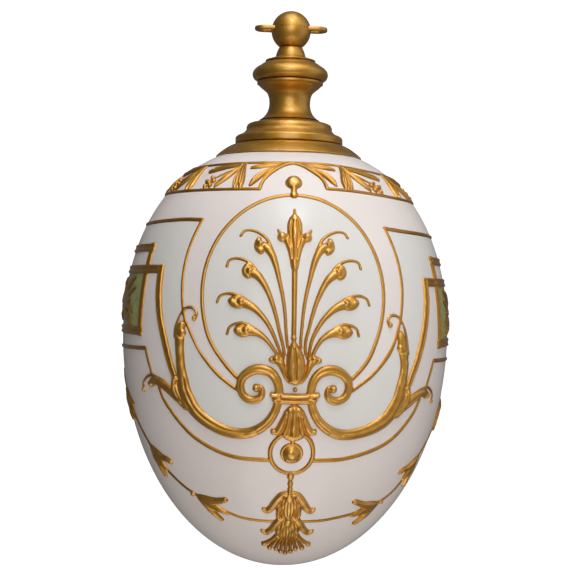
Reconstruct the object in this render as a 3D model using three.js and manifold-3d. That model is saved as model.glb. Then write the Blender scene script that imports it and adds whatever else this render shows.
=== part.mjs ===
// A porcelain Easter egg with raised gilding, hung by a turned brass mount.
// Millimetres, +Z up, origin midway between the two hanging eyes, front face toward -Y.
import * as THREE from 'three';
import { mergeVertices } from 'three/addons/utils/BufferGeometryUtils.js';
import Module from 'manifold-3d';

const wasm = await Module();
wasm.setup();

// Porcelain egg: pointed end down
const EGG_RADIUS = 46.25;
const EGG_UPPER_HEIGHT = 53;
const EGG_LOWER_HEIGHT = 66.2;
const EGG_WALL = 3.5;
const NECK_OPENING_RADIUS = 12;
// The upper half is a flattened ellipse, the lower half a true one
const UPPER_RISE_POWER = 2.05;
const UPPER_WIDTH_POWER = 2.6;

// Hanger: a ball in two halves around a flat bar with an eye at each end
const BALL_RADIUS = 5.4;
const BALL_DROP = 0.6;
const BALL_CAVITY_RADIUS = 3.9;
const BALL_FOOT_DEPTH = 5.1;
const CAVITY_FLOOR_DEPTH = 3.4;
const EYE_CENTRE = 7.6;
const EYE_RADIUS = 2.9;
const EYE_HOLE_RADIUS = 1.45;
const EYE_BAR_WIDTH = 2.6;
const EYE_BAR_THICKNESS = 1.3;

// Tie rod: its head turns in the ball, its tail takes the nut inside the egg
const ROD_RADIUS = 1.2;
const ROD_HEAD_RADIUS = 2.0;
const ROD_HEAD_HEIGHT = 1.1;
const ROD_TAIL = 1.7;

// Turned brass stack under the ball, from the top down
const NECK_TOP_RADIUS = 3.3;
const NECK_FOOT_RADIUS = 4.25;
const NECK_HEIGHT = 3.75;
const SKIRT_RISE = 0.95;
const COLLAR_RADIUS = 7.25;
const COLLAR_THICKNESS = 0.45;
const KNOP_RADIUS = 10.7;
const KNOP_HEIGHT = 5.4;
const KNOP_TOP_RADIUS = 7.7;
const KNOP_FOOT_RADIUS = 8.9;
const BALUSTER_HEIGHT = 10.8;
const BALUSTER_DISC_RADIUS = 9;
const BALUSTER_DISC_HEIGHT = 1.3;
const BALUSTER_WAIST_RADIUS = 5.75;
const BALUSTER_FOOT_RADIUS = 9;
const STEP_RADIUS = 12.25;
const STEP_HEIGHT = 2.9;
const BASE_RADIUS = 15.35;
const BASE_HEIGHT = 7;
const BASE_WALL_HEIGHT = 1.9;
const CAP_RADIUS = 20.9;
const CAP_OVER_POLE = 0.65;
const CAP_STANDOFF = 0.95;
const CAP_LIP_STANDOFF = 0.3;
const WASHER_INNER_RADIUS = 13;
const WASHER_OUTER_RADIUS = 18;
const WASHER_THICKNESS = 0.5;

// Toggle and nut inside the egg
const TOGGLE_HALF_LENGTH = 16;
const TOGGLE_WIDTH = 7;
const TOGGLE_TIP_WIDTH = 4;
const TOGGLE_THICKNESS = 3;
const NUT_RADIUS = 3.6;
const NUT_HEIGHT = 3.2;

// Clearances
const STACK_GAP = 0.2;
const BORE_CLEARANCE = 0.3;
const SEAM_GAP = 0.16;
const SLOT_CLEARANCE = 0.2;
const SEAT_GAP = 0.3;
const GILDING_LIFT = 0.1;
const GILDING_BREAK = 0.35;

// Raised gilding: heights above the glaze and the widths of its plain lines
const LINE_WIDTH = 0.9;
const LINE_HEIGHT = 0.55;
const BAR_WIDTH = 2.5;
const BAR_HEIGHT = 0.7;
const LEAF_HEIGHT = 0.9;
const SCROLL_HEIGHT = 1.1;

// The ornament is drawn for an egg of this size, with depths below its girth
const DRAWN_RADIUS = 46.25;
const DRAWN_UPPER_HEIGHT = 53;
const DRAWN_LOWER_HEIGHT = 66.2;

// Facets
const TURNED_SEGMENTS = 20;
const EGG_SEGMENTS = 32;
const HOLLOW_LOWER_STEPS = 4;
const HOLLOW_UPPER_STEPS = 3;

// Colours
const GLAZE = { color: 0xd8d0ca, roughness: 0.18, metalness: 0 };
const BRASS = { color: 0xb9853c, roughness: 0.34, metalness: 1 };
const STEEL = { color: 0x8f8b84, roughness: 0.5, metalness: 1 };
const LEATHER = { color: 0x5b4030, roughness: 0.85, metalness: 0 };
const GILDING = { color: 0xc08a34, roughness: 0.32, metalness: 1 };

// Levels, from the ball down
const NECK_TOP = -BALL_FOOT_DEPTH - STACK_GAP;
const COLLAR_TOP = NECK_TOP - NECK_HEIGHT;
const COLLAR_FOOT = COLLAR_TOP - COLLAR_THICKNESS;
const KNOP_TOP = COLLAR_FOOT - STACK_GAP;
const KNOP_FOOT = KNOP_TOP - KNOP_HEIGHT;
const BALUSTER_TOP = KNOP_FOOT - STACK_GAP;
const BALUSTER_FOOT = BALUSTER_TOP - BALUSTER_HEIGHT;
const BASE_TOP = BALUSTER_FOOT - STACK_GAP;
const BASE_FOOT = BASE_TOP - BASE_HEIGHT;
const CAP_TOP = BASE_FOOT - STACK_GAP;
const GIRTH_Z = CAP_TOP - CAP_OVER_POLE - EGG_UPPER_HEIGHT;
const BORE_RADIUS = ROD_RADIUS + BORE_CLEARANCE;

// Radius of an egg-shaped surface at a height, for the outside and for the hollow
function eggRadius(z, shrink = 0) {
  const radius = EGG_RADIUS - shrink;
  if (z >= GIRTH_Z) {
    const rise = Math.min((z - GIRTH_Z) / (EGG_UPPER_HEIGHT - shrink), 1);
    return radius * (1 - rise ** UPPER_RISE_POWER) ** (1 / UPPER_WIDTH_POWER);
  }
  const drop = Math.min((GIRTH_Z - z) / (EGG_LOWER_HEIGHT - shrink), 1);
  return radius * Math.sqrt(1 - drop * drop);
}

// Height of the upper half at a radius
function eggTop(r, shrink = 0) {
  const width = Math.min(r / (EGG_RADIUS - shrink), 1);
  const rise = (1 - width ** UPPER_WIDTH_POWER) ** (1 / UPPER_RISE_POWER);
  return GIRTH_Z + (EGG_UPPER_HEIGHT - shrink) * rise;
}

// Profile points of the egg from its lower pole up to a rim radius
function eggProfile(shrink, rimRadius, lowerSteps, upperSteps) {
  const points = [];
  for (let i = 0; i <= lowerSteps; i++) {
    const a = (Math.PI / 2) * (1 - i / lowerSteps);
    const z = GIRTH_Z - (EGG_LOWER_HEIGHT - shrink) * Math.sin(a);
    points.push([i === 0 ? 0 : (EGG_RADIUS - shrink) * Math.cos(a), z]);
  }
  for (let i = 1; i <= upperSteps; i++) {
    const a = (Math.PI / 2) * (i / upperSteps);
    const r = rimRadius + (EGG_RADIUS - shrink - rimRadius) * Math.cos(a);
    points.push([r, eggTop(r, shrink)]);
  }
  return points;
}

// Solids of revolution about Z: profiles run up the outside and down the inside
function turn(profile, segments) {
  const points = profile.map(([r, z]) => new THREE.Vector2(r, z));
  const geometry = new THREE.LatheGeometry(points, segments);
  geometry.rotateX(Math.PI / 2);
  return geometry;
}

function turnedWithBore(outline, bore, segments = TURNED_SEGMENTS) {
  const foot = outline[0];
  const head = outline[outline.length - 1];
  return turn([...outline, [bore, head[1]], [bore, foot[1]], foot], segments);
}

function solid(geometry) {
  geometry.deleteAttribute('normal');
  geometry.deleteAttribute('uv');
  const welded = mergeVertices(geometry, 1e-4);
  const vertProperties = new Float32Array(welded.attributes.position.array);
  const triVerts = new Uint32Array(welded.index.array);
  return new wasm.Manifold(new wasm.Mesh({ numProp: 3, vertProperties, triVerts }));
}

function surfaceOf(manifold) {
  const mesh = manifold.getMesh();
  const geometry = new THREE.BufferGeometry();
  geometry.setAttribute('position', new THREE.BufferAttribute(new Float32Array(mesh.vertProperties), 3));
  geometry.setIndex(new THREE.BufferAttribute(new Uint32Array(mesh.triVerts), 1));
  geometry.computeVertexNormals();
  return geometry;
}

function joined(pieces) {
  return pieces.reduce((whole, piece) => whole.add(piece));
}

function rod(radius, bottom, top, segments = 16) {
  const geometry = new THREE.CylinderGeometry(radius, radius, top - bottom, segments);
  geometry.rotateX(Math.PI / 2);
  geometry.translate(0, 0, (top + bottom) / 2);
  return geometry;
}

function block(width, depth, height, x, y, z) {
  const geometry = new THREE.BoxGeometry(width, depth, height);
  geometry.translate(x, y, z);
  return geometry;
}

// Hanging bar with its two eyes, grown by a clearance where the ball is slotted for it
function eyeBar(grow, eyesOpen) {
  const half = EYE_BAR_THICKNESS / 2 + grow;
  let bar = solid(block(2 * EYE_CENTRE, EYE_BAR_WIDTH + 2 * grow, 2 * half, 0, 0, 0));
  for (const side of [-1, 1]) {
    const eye = rod(EYE_RADIUS + grow, -half, half, 16);
    eye.translate(side * EYE_CENTRE, 0, 0);
    bar = bar.add(solid(eye));
  }
  if (eyesOpen) {
    for (const side of [-1, 1]) {
      const hole = rod(EYE_HOLE_RADIUS, -2 * half, 2 * half, 12);
      hole.translate(side * EYE_CENTRE, 0, 0);
      bar = bar.subtract(solid(hole));
    }
  }
  return bar;
}

// Ball with a flat foot, its middle a little below the eyes, hollow for the rod head
function ballProfile(radius, footDepth, steps) {
  const start = -Math.asin((footDepth - BALL_DROP) / radius);
  const points = [[0, -footDepth]];
  for (let i = 0; i < steps; i++) {
    const a = start + (Math.PI / 2 - start) * (i / steps);
    points.push([radius * Math.cos(a), radius * Math.sin(a) - BALL_DROP]);
  }
  points.push([0, radius - BALL_DROP]);
  return points;
}

function ballHalf(side) {
  const outside = solid(turn(ballProfile(BALL_RADIUS, BALL_FOOT_DEPTH, 7), 16));
  const hollow = solid(turn(ballProfile(BALL_CAVITY_RADIUS, CAVITY_FLOOR_DEPTH, 3), 8));
  const bore = solid(rod(BORE_RADIUS, -2 * BALL_RADIUS, -CAVITY_FLOOR_DEPTH + 0.5, 10));
  const reach = 4 * BALL_RADIUS;
  const half = solid(block(reach, reach, reach, 0, 0, side * (reach / 2 + SEAM_GAP / 2)));
  return outside.subtract(hollow).subtract(bore).subtract(eyeBar(SLOT_CLEARANCE, false)).intersect(half);
}

// Turned outlines, each from its foot up
function neckOutline() {
  const points = [[COLLAR_RADIUS - 0.15, COLLAR_FOOT], [COLLAR_RADIUS, COLLAR_FOOT + COLLAR_THICKNESS / 3]];
  points.push([COLLAR_RADIUS - 0.1, COLLAR_TOP]);
  points.push([NECK_FOOT_RADIUS + 0.2, COLLAR_TOP + SKIRT_RISE - 0.1]);
  for (let i = 0; i <= 3; i++) {
    const t = i / 3;
    const hollow = 0.06 * Math.sin(Math.PI * t);
    const r = NECK_FOOT_RADIUS + (NECK_TOP_RADIUS - NECK_FOOT_RADIUS) * t - hollow;
    points.push([r, COLLAR_TOP + SKIRT_RISE + (NECK_HEIGHT - SKIRT_RISE) * t]);
  }
  return points;
}

function knopOutline() {
  const points = [[KNOP_FOOT_RADIUS, KNOP_FOOT]];
  const bulge = KNOP_FOOT + KNOP_HEIGHT * 0.38;
  for (let i = 1; i < 3; i++) {
    const a = (Math.PI / 2) * (i / 3);
    const r = KNOP_FOOT_RADIUS + (KNOP_RADIUS - KNOP_FOOT_RADIUS) * Math.sin(a);
    points.push([r, bulge - (bulge - KNOP_FOOT) * Math.cos(a)]);
  }
  for (let i = 0; i <= 4; i++) {
    const a = (Math.PI / 2) * (i / 4);
    const r = KNOP_TOP_RADIUS + (KNOP_RADIUS - KNOP_TOP_RADIUS) * Math.cos(a);
    points.push([r, bulge + (KNOP_TOP - bulge) * Math.sin(a)]);
  }
  return points;
}

function balusterOutline() {
  const discFoot = BALUSTER_TOP - BALUSTER_DISC_HEIGHT;
  const waist = BALUSTER_FOOT + (discFoot - BALUSTER_FOOT) * 0.57;
  const points = [];
  for (let i = 0; i <= 4; i++) {
    const a = (Math.PI / 2) * (i / 4);
    const r = BALUSTER_FOOT_RADIUS - (BALUSTER_FOOT_RADIUS - BALUSTER_WAIST_RADIUS) * Math.sin(a);
    points.push([r, waist - (waist - BALUSTER_FOOT) * Math.cos(a)]);
  }
  for (let i = 1; i <= 4; i++) {
    const a = (Math.PI / 2) * (i / 4);
    const reach = BALUSTER_DISC_RADIUS - 0.7 - BALUSTER_WAIST_RADIUS;
    const r = BALUSTER_WAIST_RADIUS + reach * (1 - Math.cos(a));
    points.push([r, waist + (discFoot - waist) * Math.sin(a)]);
  }
  points.push([BALUSTER_DISC_RADIUS, BALUSTER_TOP - 0.3]);
  points.push([BALUSTER_DISC_RADIUS - 0.15, BALUSTER_TOP]);
  return points;
}

function baseOutline() {
  const coveTop = BASE_TOP - STEP_HEIGHT;
  const coveFoot = BASE_FOOT + BASE_WALL_HEIGHT;
  const points = [[BASE_RADIUS - 0.25, BASE_FOOT], [BASE_RADIUS, BASE_FOOT + 0.25]];
  for (let i = 0; i <= 3; i++) {
    const t = i / 3;
    const r = BASE_RADIUS - 0.2 + (STEP_RADIUS + 0.25 - BASE_RADIUS + 0.2) * t ** 0.8;
    points.push([r, coveFoot + (coveTop - coveFoot) * t]);
  }
  points.push([STEP_RADIUS, coveTop + 0.3]);
  points.push([STEP_RADIUS, coveTop + STEP_HEIGHT * 0.35]);
  points.push([STEP_RADIUS - 0.35, coveTop + STEP_HEIGHT * 0.58]);
  points.push([STEP_RADIUS - 1, coveTop + STEP_HEIGHT * 0.74]);
  points.push([BALUSTER_FOOT_RADIUS + 0.2, BASE_TOP]);
  return points;
}

// Spun cap: follows the egg underneath, domed on top, its lip turned down to the glaze
function capOutline() {
  const lip = eggTop(CAP_RADIUS) + CAP_LIP_STANDOFF;
  const shoulder = BASE_RADIUS - 0.15;
  const points = [[NECK_OPENING_RADIUS, eggTop(NECK_OPENING_RADIUS) + CAP_STANDOFF]];
  for (const r of [WASHER_INNER_RADIUS + 2.5, WASHER_OUTER_RADIUS + 0.4]) {
    points.push([r, eggTop(r) + CAP_STANDOFF]);
  }
  points.push([CAP_RADIUS - 0.3, eggTop(CAP_RADIUS - 0.3) + CAP_LIP_STANDOFF]);
  for (let i = 0; i <= 4; i++) {
    const s = 1 - i / 4;
    const r = shoulder + (CAP_RADIUS - shoulder) * s;
    points.push([r, lip + 0.25 + (CAP_TOP - lip - 0.25) * (1 - s ** 1.5)]);
  }
  return points;
}

function capSurface() {
  const outline = capOutline();
  const under = outline[0];
  return turn([[BORE_RADIUS, under[1]], ...outline, [BORE_RADIUS, CAP_TOP], [BORE_RADIUS, under[1]]],
    TURNED_SEGMENTS);
}

function washerSurface() {
  const radii = [WASHER_INNER_RADIUS, WASHER_OUTER_RADIUS];
  const lower = radii.map((r) => [r, eggTop(r) + GILDING_LIFT * 1.5]);
  const upper = radii.map((r) => [r, eggTop(r) + GILDING_LIFT * 1.5 + WASHER_THICKNESS]).reverse();
  return turn([...lower, ...upper, lower[0]], TURNED_SEGMENTS);
}

const HOLLOW = eggProfile(EGG_WALL, NECK_OPENING_RADIUS, HOLLOW_LOWER_STEPS, HOLLOW_UPPER_STEPS);

function shellSurface() {
  const outside = eggProfile(0, NECK_OPENING_RADIUS, 10, 8);
  return turn([...outside, ...HOLLOW.toReversed()], EGG_SEGMENTS);
}

// Height of the hollow's roof at a radius, under its flat facets
function hollowTop(r) {
  const reach = r / Math.cos(Math.PI / EGG_SEGMENTS);
  const roof = HOLLOW.slice(HOLLOW_LOWER_STEPS);
  for (let i = 0; i + 1 < roof.length; i++) {
    const [outer, low] = roof[i];
    const [inner, high] = roof[i + 1];
    if (reach <= outer && reach >= inner) {
      return low + ((high - low) * (outer - reach)) / (outer - inner);
    }
  }
  return roof[roof.length - 1][1];
}

const TOGGLE_TOP = hollowTop(Math.hypot(TOGGLE_HALF_LENGTH, TOGGLE_TIP_WIDTH / 2)) - SEAT_GAP;
const NUT_TOP = TOGGLE_TOP - TOGGLE_THICKNESS - STACK_GAP;
const ROD_FOOT = NUT_TOP - NUT_HEIGHT - ROD_TAIL;
const ROD_HEAD_FOOT = -CAVITY_FLOOR_DEPTH + STACK_GAP;

function rodSurface() {
  const top = ROD_HEAD_FOOT + ROD_HEAD_HEIGHT;
  const outline = [[0, ROD_FOOT], [ROD_RADIUS - 0.3, ROD_FOOT], [ROD_RADIUS, ROD_FOOT + 0.3]];
  outline.push([ROD_RADIUS, ROD_HEAD_FOOT]);
  outline.push([ROD_HEAD_RADIUS, ROD_HEAD_FOOT]);
  outline.push([ROD_HEAD_RADIUS, top - 0.2], [ROD_HEAD_RADIUS - 0.2, top], [0, top]);
  return turn(outline, 14);
}

function toggleSurface() {
  const bar = solid(block(2 * TOGGLE_HALF_LENGTH - 4, TOGGLE_WIDTH, TOGGLE_THICKNESS, 0, 0, 0));
  const tip = solid(block(2 * TOGGLE_HALF_LENGTH, TOGGLE_TIP_WIDTH, TOGGLE_THICKNESS, 0, 0, 0));
  const hole = solid(rod(BORE_RADIUS, -TOGGLE_THICKNESS, TOGGLE_THICKNESS));
  const geometry = surfaceOf(bar.add(tip).subtract(hole));
  geometry.translate(0, 0, TOGGLE_TOP - TOGGLE_THICKNESS / 2);
  return geometry;
}

function nutSurface() {
  const hexagon = solid(rod(NUT_RADIUS, NUT_TOP - NUT_HEIGHT, NUT_TOP, 6));
  return surfaceOf(hexagon.subtract(solid(rod(BORE_RADIUS, NUT_TOP - 2 * NUT_HEIGHT, NUT_TOP + NUT_HEIGHT))));
}

// Ornament chart: a place on the egg from the drawing, by angle or by distance from the centre line
function heightOf(depth) {
  const scale = depth <= 0 ? EGG_UPPER_HEIGHT / DRAWN_UPPER_HEIGHT : EGG_LOWER_HEIGHT / DRAWN_LOWER_HEIGHT;
  return GIRTH_Z - depth * scale;
}

function byAngle(degrees, depth, width = LINE_WIDTH) {
  return { angle: THREE.MathUtils.degToRad(degrees), z: heightOf(depth), width };
}

function byOffset(x, depth, width = LINE_WIDTH) {
  const z = heightOf(depth);
  const sine = (x * EGG_RADIUS) / DRAWN_RADIUS / eggRadius(z);
  return { angle: Math.asin(Math.max(-0.999, Math.min(0.999, sine))), z, width };
}

function across(rows) {
  return rows.map(([x, depth, width]) => byOffset(x, depth, width));
}

function around(rows) {
  return rows.map(([degrees, depth, width]) => byAngle(degrees, depth, width));
}

function mirrored(path) {
  return path.map(({ angle, z, width }) => ({ angle: -angle, z, width }));
}

function glazePoint(angle, z) {
  const r = eggRadius(z);
  return new THREE.Vector3(r * Math.sin(angle), -r * Math.cos(angle), z);
}

function glazeNormal(angle, z) {
  const slope = (eggRadius(z + 0.05) - eggRadius(z - 0.05)) / 0.1;
  return new THREE.Vector3(Math.sin(angle), -Math.cos(angle), -slope).normalize();
}

// Closed band of gilding laid along a path on the glaze
function stroke(path, height, steps, crown = 0) {
  const spots = path.map(({ angle, z }) => glazePoint(angle, z));
  const curve = new THREE.CatmullRomCurve3(spots, false, 'centripetal');
  const positions = [];
  const count = crown > 0 ? 4 : 3;
  for (let i = 0; i <= steps; i++) {
    const t = i / steps;
    const on = curve.getPoint(t);
    const angle = Math.atan2(on.x, -on.y);
    const base = glazePoint(angle, on.z);
    const normal = glazeNormal(angle, on.z);
    const along = curve.getTangent(t);
    const aside = new THREE.Vector3().crossVectors(along, normal).normalize();
    const place = Math.min(t * (path.length - 1), path.length - 1.0001);
    const from = Math.floor(place);
    const width = THREE.MathUtils.lerp(path[from].width, path[from + 1].width, place - from);
    const lift = GILDING_LIFT + height * 0.12 + (width * width) / (8 * EGG_RADIUS);
    const rise = lift + height * Math.min(1, 0.35 + width * 0.6);
    const section = [[-width / 2, lift], [width / 2, lift]];
    if (crown > 0) {
      section.push([(crown * width) / 2, rise], [(-crown * width) / 2, rise]);
    } else {
      section.push([0, rise]);
    }
    for (const [shift, up] of section) {
      positions.push(base.clone().addScaledVector(aside, shift).addScaledVector(normal, up));
    }
  }
  return closedBand(positions, count);
}

// Skin over rings of equal count, closed at both ends, turned to face out
function closedBand(positions, count) {
  const rings = positions.length / count;
  const index = [];
  for (let i = 0; i + 1 < rings; i++) {
    for (let j = 0; j < count; j++) {
      const a = i * count + j;
      const b = i * count + ((j + 1) % count);
      index.push(a, b, b + count, a, b + count, a + count);
    }
  }
  const last = (rings - 1) * count;
  for (let j = 1; j + 1 < count; j++) {
    index.push(0, j + 1, j, last, last + j, last + j + 1);
  }
  const geometry = new THREE.BufferGeometry();
  const flat = positions.flatMap((p) => [p.x, p.y, p.z]);
  geometry.setAttribute('position', new THREE.BufferAttribute(new Float32Array(flat), 3));
  geometry.setIndex(index);
  const body = solid(geometry);
  if (body.volume() > 0) {
    return body;
  }
  const turnedIndex = [];
  for (let i = 0; i < index.length; i += 3) {
    turnedIndex.push(index[i], index[i + 2], index[i + 1]);
  }
  geometry.setIndex(turnedIndex);
  return solid(geometry);
}

// Rounded boss of gilding: buttons, berries, bulbs
function boss(place, radius, height, segments = 8) {
  const normal = glazeNormal(place.angle, place.z);
  const lift = GILDING_LIFT + height * 0.16 + (radius * radius) / (2 * EGG_RADIUS);
  const outline = [[0, lift], [radius, lift], [radius * 0.8, lift + height * 0.7], [0, lift + height]];
  const geometry = turn(outline, segments);
  geometry.applyQuaternion(new THREE.Quaternion().setFromUnitVectors(new THREE.Vector3(0, 0, 1), normal));
  const base = glazePoint(place.angle, place.z);
  geometry.translate(base.x, base.y, base.z);
  return solid(geometry);
}

function bothSides(path, height, steps, crown = 0) {
  return [stroke(path, height, steps, crown), stroke(mirrored(path), height, steps, crown)];
}

// Lines of the shoulder band, which lies below the cap's rim; the oval's button hangs under it
const BAND_BELOW_CAP = 3.3;
const BAND_HEIGHT = 7.6;
const BUTTON_DROP = 3.3;
const CAP_RIM_RISE = ((eggTop(CAP_RADIUS) - GIRTH_Z) * DRAWN_UPPER_HEIGHT) / EGG_UPPER_HEIGHT;
const BAND_TOP_DEPTH = BAND_BELOW_CAP - CAP_RIM_RISE;
const BAND_FOOT_DEPTH = BAND_TOP_DEPTH + BAND_HEIGHT;

// Depth at a share of the band's height, from its top line
function inBand(share) {
  return BAND_TOP_DEPTH + BAND_HEIGHT * share;
}

// Volute: a strand that winds in from the tie by five quarter turns
const VOLUTE_X = 10.1;
const VOLUTE_DEPTH = 12.4;
const VOLUTE_REACH = 5.5;
const VOLUTE_PITCH = 0.92;
const VOLUTE_QUARTERS = 5;

// Oval frame that hangs from a button and runs down into the volutes
const OVAL_HALF_WIDTH = 23.35;
const OVAL_RISE = 26.1;
const OVAL_TOP_DEPTH = BAND_FOOT_DEPTH + 1.8;
const OVAL_CENTRE_DEPTH = OVAL_TOP_DEPTH + OVAL_RISE;
const BUTTON_DEPTH = OVAL_TOP_DEPTH - BUTTON_DROP;
const OVAL_DROP = VOLUTE_DEPTH - OVAL_CENTRE_DEPTH + 4.8;
const OVAL_FREE_ARC = 132;

function ovalPath() {
  const foot = VOLUTE_X + VOLUTE_REACH - 2 * VOLUTE_PITCH;
  const path = [byOffset(-foot, VOLUTE_DEPTH - 0.6)];
  for (let i = -13; i <= 13; i++) {
    const a = THREE.MathUtils.degToRad((OVAL_FREE_ARC * i) / 13);
    const reach = Math.cos(a) >= 0 ? OVAL_RISE : OVAL_DROP;
    path.push(byOffset(OVAL_HALF_WIDTH * Math.sin(a), OVAL_CENTRE_DEPTH - reach * Math.cos(a)));
  }
  path.push(byOffset(foot, VOLUTE_DEPTH - 0.6));
  return path;
}

function volutePath() {
  const path = across([[4.6, 15.2, 2]]);
  const count = 18;
  for (let i = 0; i <= count; i++) {
    const quarter = (VOLUTE_QUARTERS * i) / count;
    const reach = VOLUTE_REACH - VOLUTE_PITCH * quarter;
    const a = Math.PI - (quarter * Math.PI) / 2;
    const width = 1.9 - 0.14 * quarter;
    path.push(byOffset(VOLUTE_X + reach * Math.cos(a), VOLUTE_DEPTH - reach * Math.sin(a), width));
  }
  return path;
}

const RING_DEPTH = 29;
const RING_RADIUS = 5.4;
const RING_BALL_RADIUS = 2.85;

function ringSolids() {
  const halves = [];
  for (const side of [-1, 1]) {
    const path = [];
    for (let i = 0; i <= 8; i++) {
      const a = side * THREE.MathUtils.degToRad((184 * i) / 8 - 2);
      path.push(byOffset(RING_RADIUS * Math.sin(a), RING_DEPTH - RING_RADIUS * Math.cos(a)));
    }
    halves.push(stroke(path, LINE_HEIGHT, 6));
  }
  return halves;
}

const SIDE_END = 90 - THREE.MathUtils.radToDeg(GILDING_BREAK / 2 / EGG_RADIUS);

function scrollFrame() {
  const outerLine = across([[24, -29.3], [27.3, -21.3], [28.6, -11.8], [27.8, -4.3], [24.6, 3.2], [20, 8.7],
    [14, 12.4]]);
  const topLine = [...across([[23.7, -29.3]]), ...around([[55, -29.1], [75, -28.9], [SIDE_END, -28.9]])];
  const arm = across([[28.2, -2.2, 1.9], [28.8, 0.8, 2.6], [29.2, 3.4, 2.1], [29.1, 7.6, 2],
    [28.3, 11.7, 2.8], [26.9, 16, 3.6], [24.6, 20.1, 3.6], [21, 22.5, 3.2], [14, 24.4, 2.8],
    [9, 23.3, 2.6], [5.8, 19.7, 2.4], [4.6, 15.7, 2]]);
  const hook = across([[25, -4.2, 1.1], [24.7, -5.8, 0.9], [26.3, -6.9, 0.9], [28.3, -5.6, 0.8],
    [29.7, -2.5, 0.9], [29.8, 2.4, 1]]);
  const branch = [...across([[25.4, 19, 2.2]]), ...around([[43, 15.5, 2], [49, 13.2, 1.8],
    [53.3, 12.6, 1.6], [57, 13.2, 1.2], [59.3, 15.4, 1]])];
  const swag = across([[24.4, 27.1], [20, 29.4], [16, 30.5], [10, 31.1], [5, 30.7]]);
  const footCorner = around([[SIDE_END, 5.4], [72, 5.3], [55.4, 5]]);
  const footFall = around([[55.7, 4.7], [52.5, 12], [49, 16.5], [44.5, 21.7], [39, 25.5]]);
  const lowerSwag = [...footFall.slice(1), ...swag];
  const bellLobe = across([[1.2, 17.6, 1.8], [1.9, 21, 2.2], [2.4, 24, 1.7]]);
  const bellLip = across([[2.2, 18.4, 1.7], [3.3, 21, 2.1], [4.4, 23.4, 2], [5.9, 24, 1.3]]);
  const pieces = [
    stroke(ovalPath(), LINE_HEIGHT, 18),
    stroke(across([[-6.1, 14.5, 2.6], [0, 14.5, 2.4], [6.1, 14.5, 2.6]]), SCROLL_HEIGHT, 3, 0.6),
    stroke(across([[0, 15.2, 2.2], [0, 20.2, 2.6], [0, 24.2, 2], [0, 27.2, 1.2]]), SCROLL_HEIGHT, 3),
    boss(byOffset(0, RING_DEPTH), RING_BALL_RADIUS, 1.5, 8),
    boss(byOffset(0, BUTTON_DEPTH), 2, 1.2, 8),
    stroke(across([[0, BUTTON_DEPTH, 1.9], [0, OVAL_TOP_DEPTH + 0.1, 1.9]]), LINE_HEIGHT, 2, 0.5),
    ...ringSolids(),
    ...bothSides(volutePath(), SCROLL_HEIGHT, 14),
    ...bothSides(arm, SCROLL_HEIGHT, 13),
    ...bothSides(hook, LINE_HEIGHT, 5),
    ...bothSides(branch, LEAF_HEIGHT, 5),
    ...bothSides(outerLine, LINE_HEIGHT, 7),
    ...bothSides(topLine, LINE_HEIGHT, 6),
    ...bothSides(footCorner, LINE_HEIGHT, 4),
    ...bothSides([footFall[0], ...lowerSwag], LINE_HEIGHT, 9),
    ...bothSides(bellLobe, LEAF_HEIGHT, 2),
    ...bothSides(bellLip, LEAF_HEIGHT, 3),
  ];
  return joined(pieces);
}

// Palmette: a lance leaf with four pairs of curling leaves that rise from a bud
const LEAF_PAIRS = [
  {
    leaf: [[1.6, 4.6, 0.7], [2, -2.5, 0.8], [2.95, -10.8, 1], [3.85, -14.8, 1.2], [5, -19.2, 1.7],
      [6.8, -22.6, 2.5], [8.6, -23.5, 3.2], [9.6, -23.5, 2.2]],
    tendril: [[6, -22.6, 0.9], [7.3, -25.4, 0.8], [9.4, -27, 0.7], [12, -27.4, 0.7], [13.6, -26.1, 0.8]],
  },
  {
    leaf: [[2.1, 6.6, 0.7], [3.1, 0.2, 0.8], [4.4, -5.4, 1], [6.2, -10.8, 1.3], [8.1, -14.4, 1.8],
      [10.2, -16.4, 2.5], [11.9, -16.9, 3.1], [12.8, -17, 2.1]],
    tendril: [[9.2, -16.2, 0.9], [11, -18.8, 0.8], [13.6, -20, 0.7], [15.9, -19.9, 0.7],
      [17.1, -18.2, 0.8]],
  },
  {
    leaf: [[2.6, 6.8, 0.7], [4.2, 1.4, 0.9], [6.9, -4.3, 1.2], [9.2, -6.9, 1.6], [11.7, -8.5, 2.3],
      [14.1, -9.1, 3.2], [15.8, -9.3, 2]],
    tendril: [[11.4, -9.1, 0.9], [13.8, -10.6, 0.8], [16.4, -11.1, 0.7], [18.4, -10.5, 0.7],
      [19.4, -8.9, 0.8]],
  },
  {
    leaf: [[2.9, 6.9, 0.8], [5.1, 2.8, 1], [7.3, -0.2, 1.4], [9.4, -1.5, 1.9], [11.2, -1.9, 2.6],
      [12.8, -1.9, 3.2], [14, -1.9, 2]],
    tendril: [[9.6, -2.1, 0.9], [11.6, -3.4, 0.8], [13.8, -3.7, 0.7], [15.8, -2.9, 0.7], [16.7, -1, 0.8]],
  },
];

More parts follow.
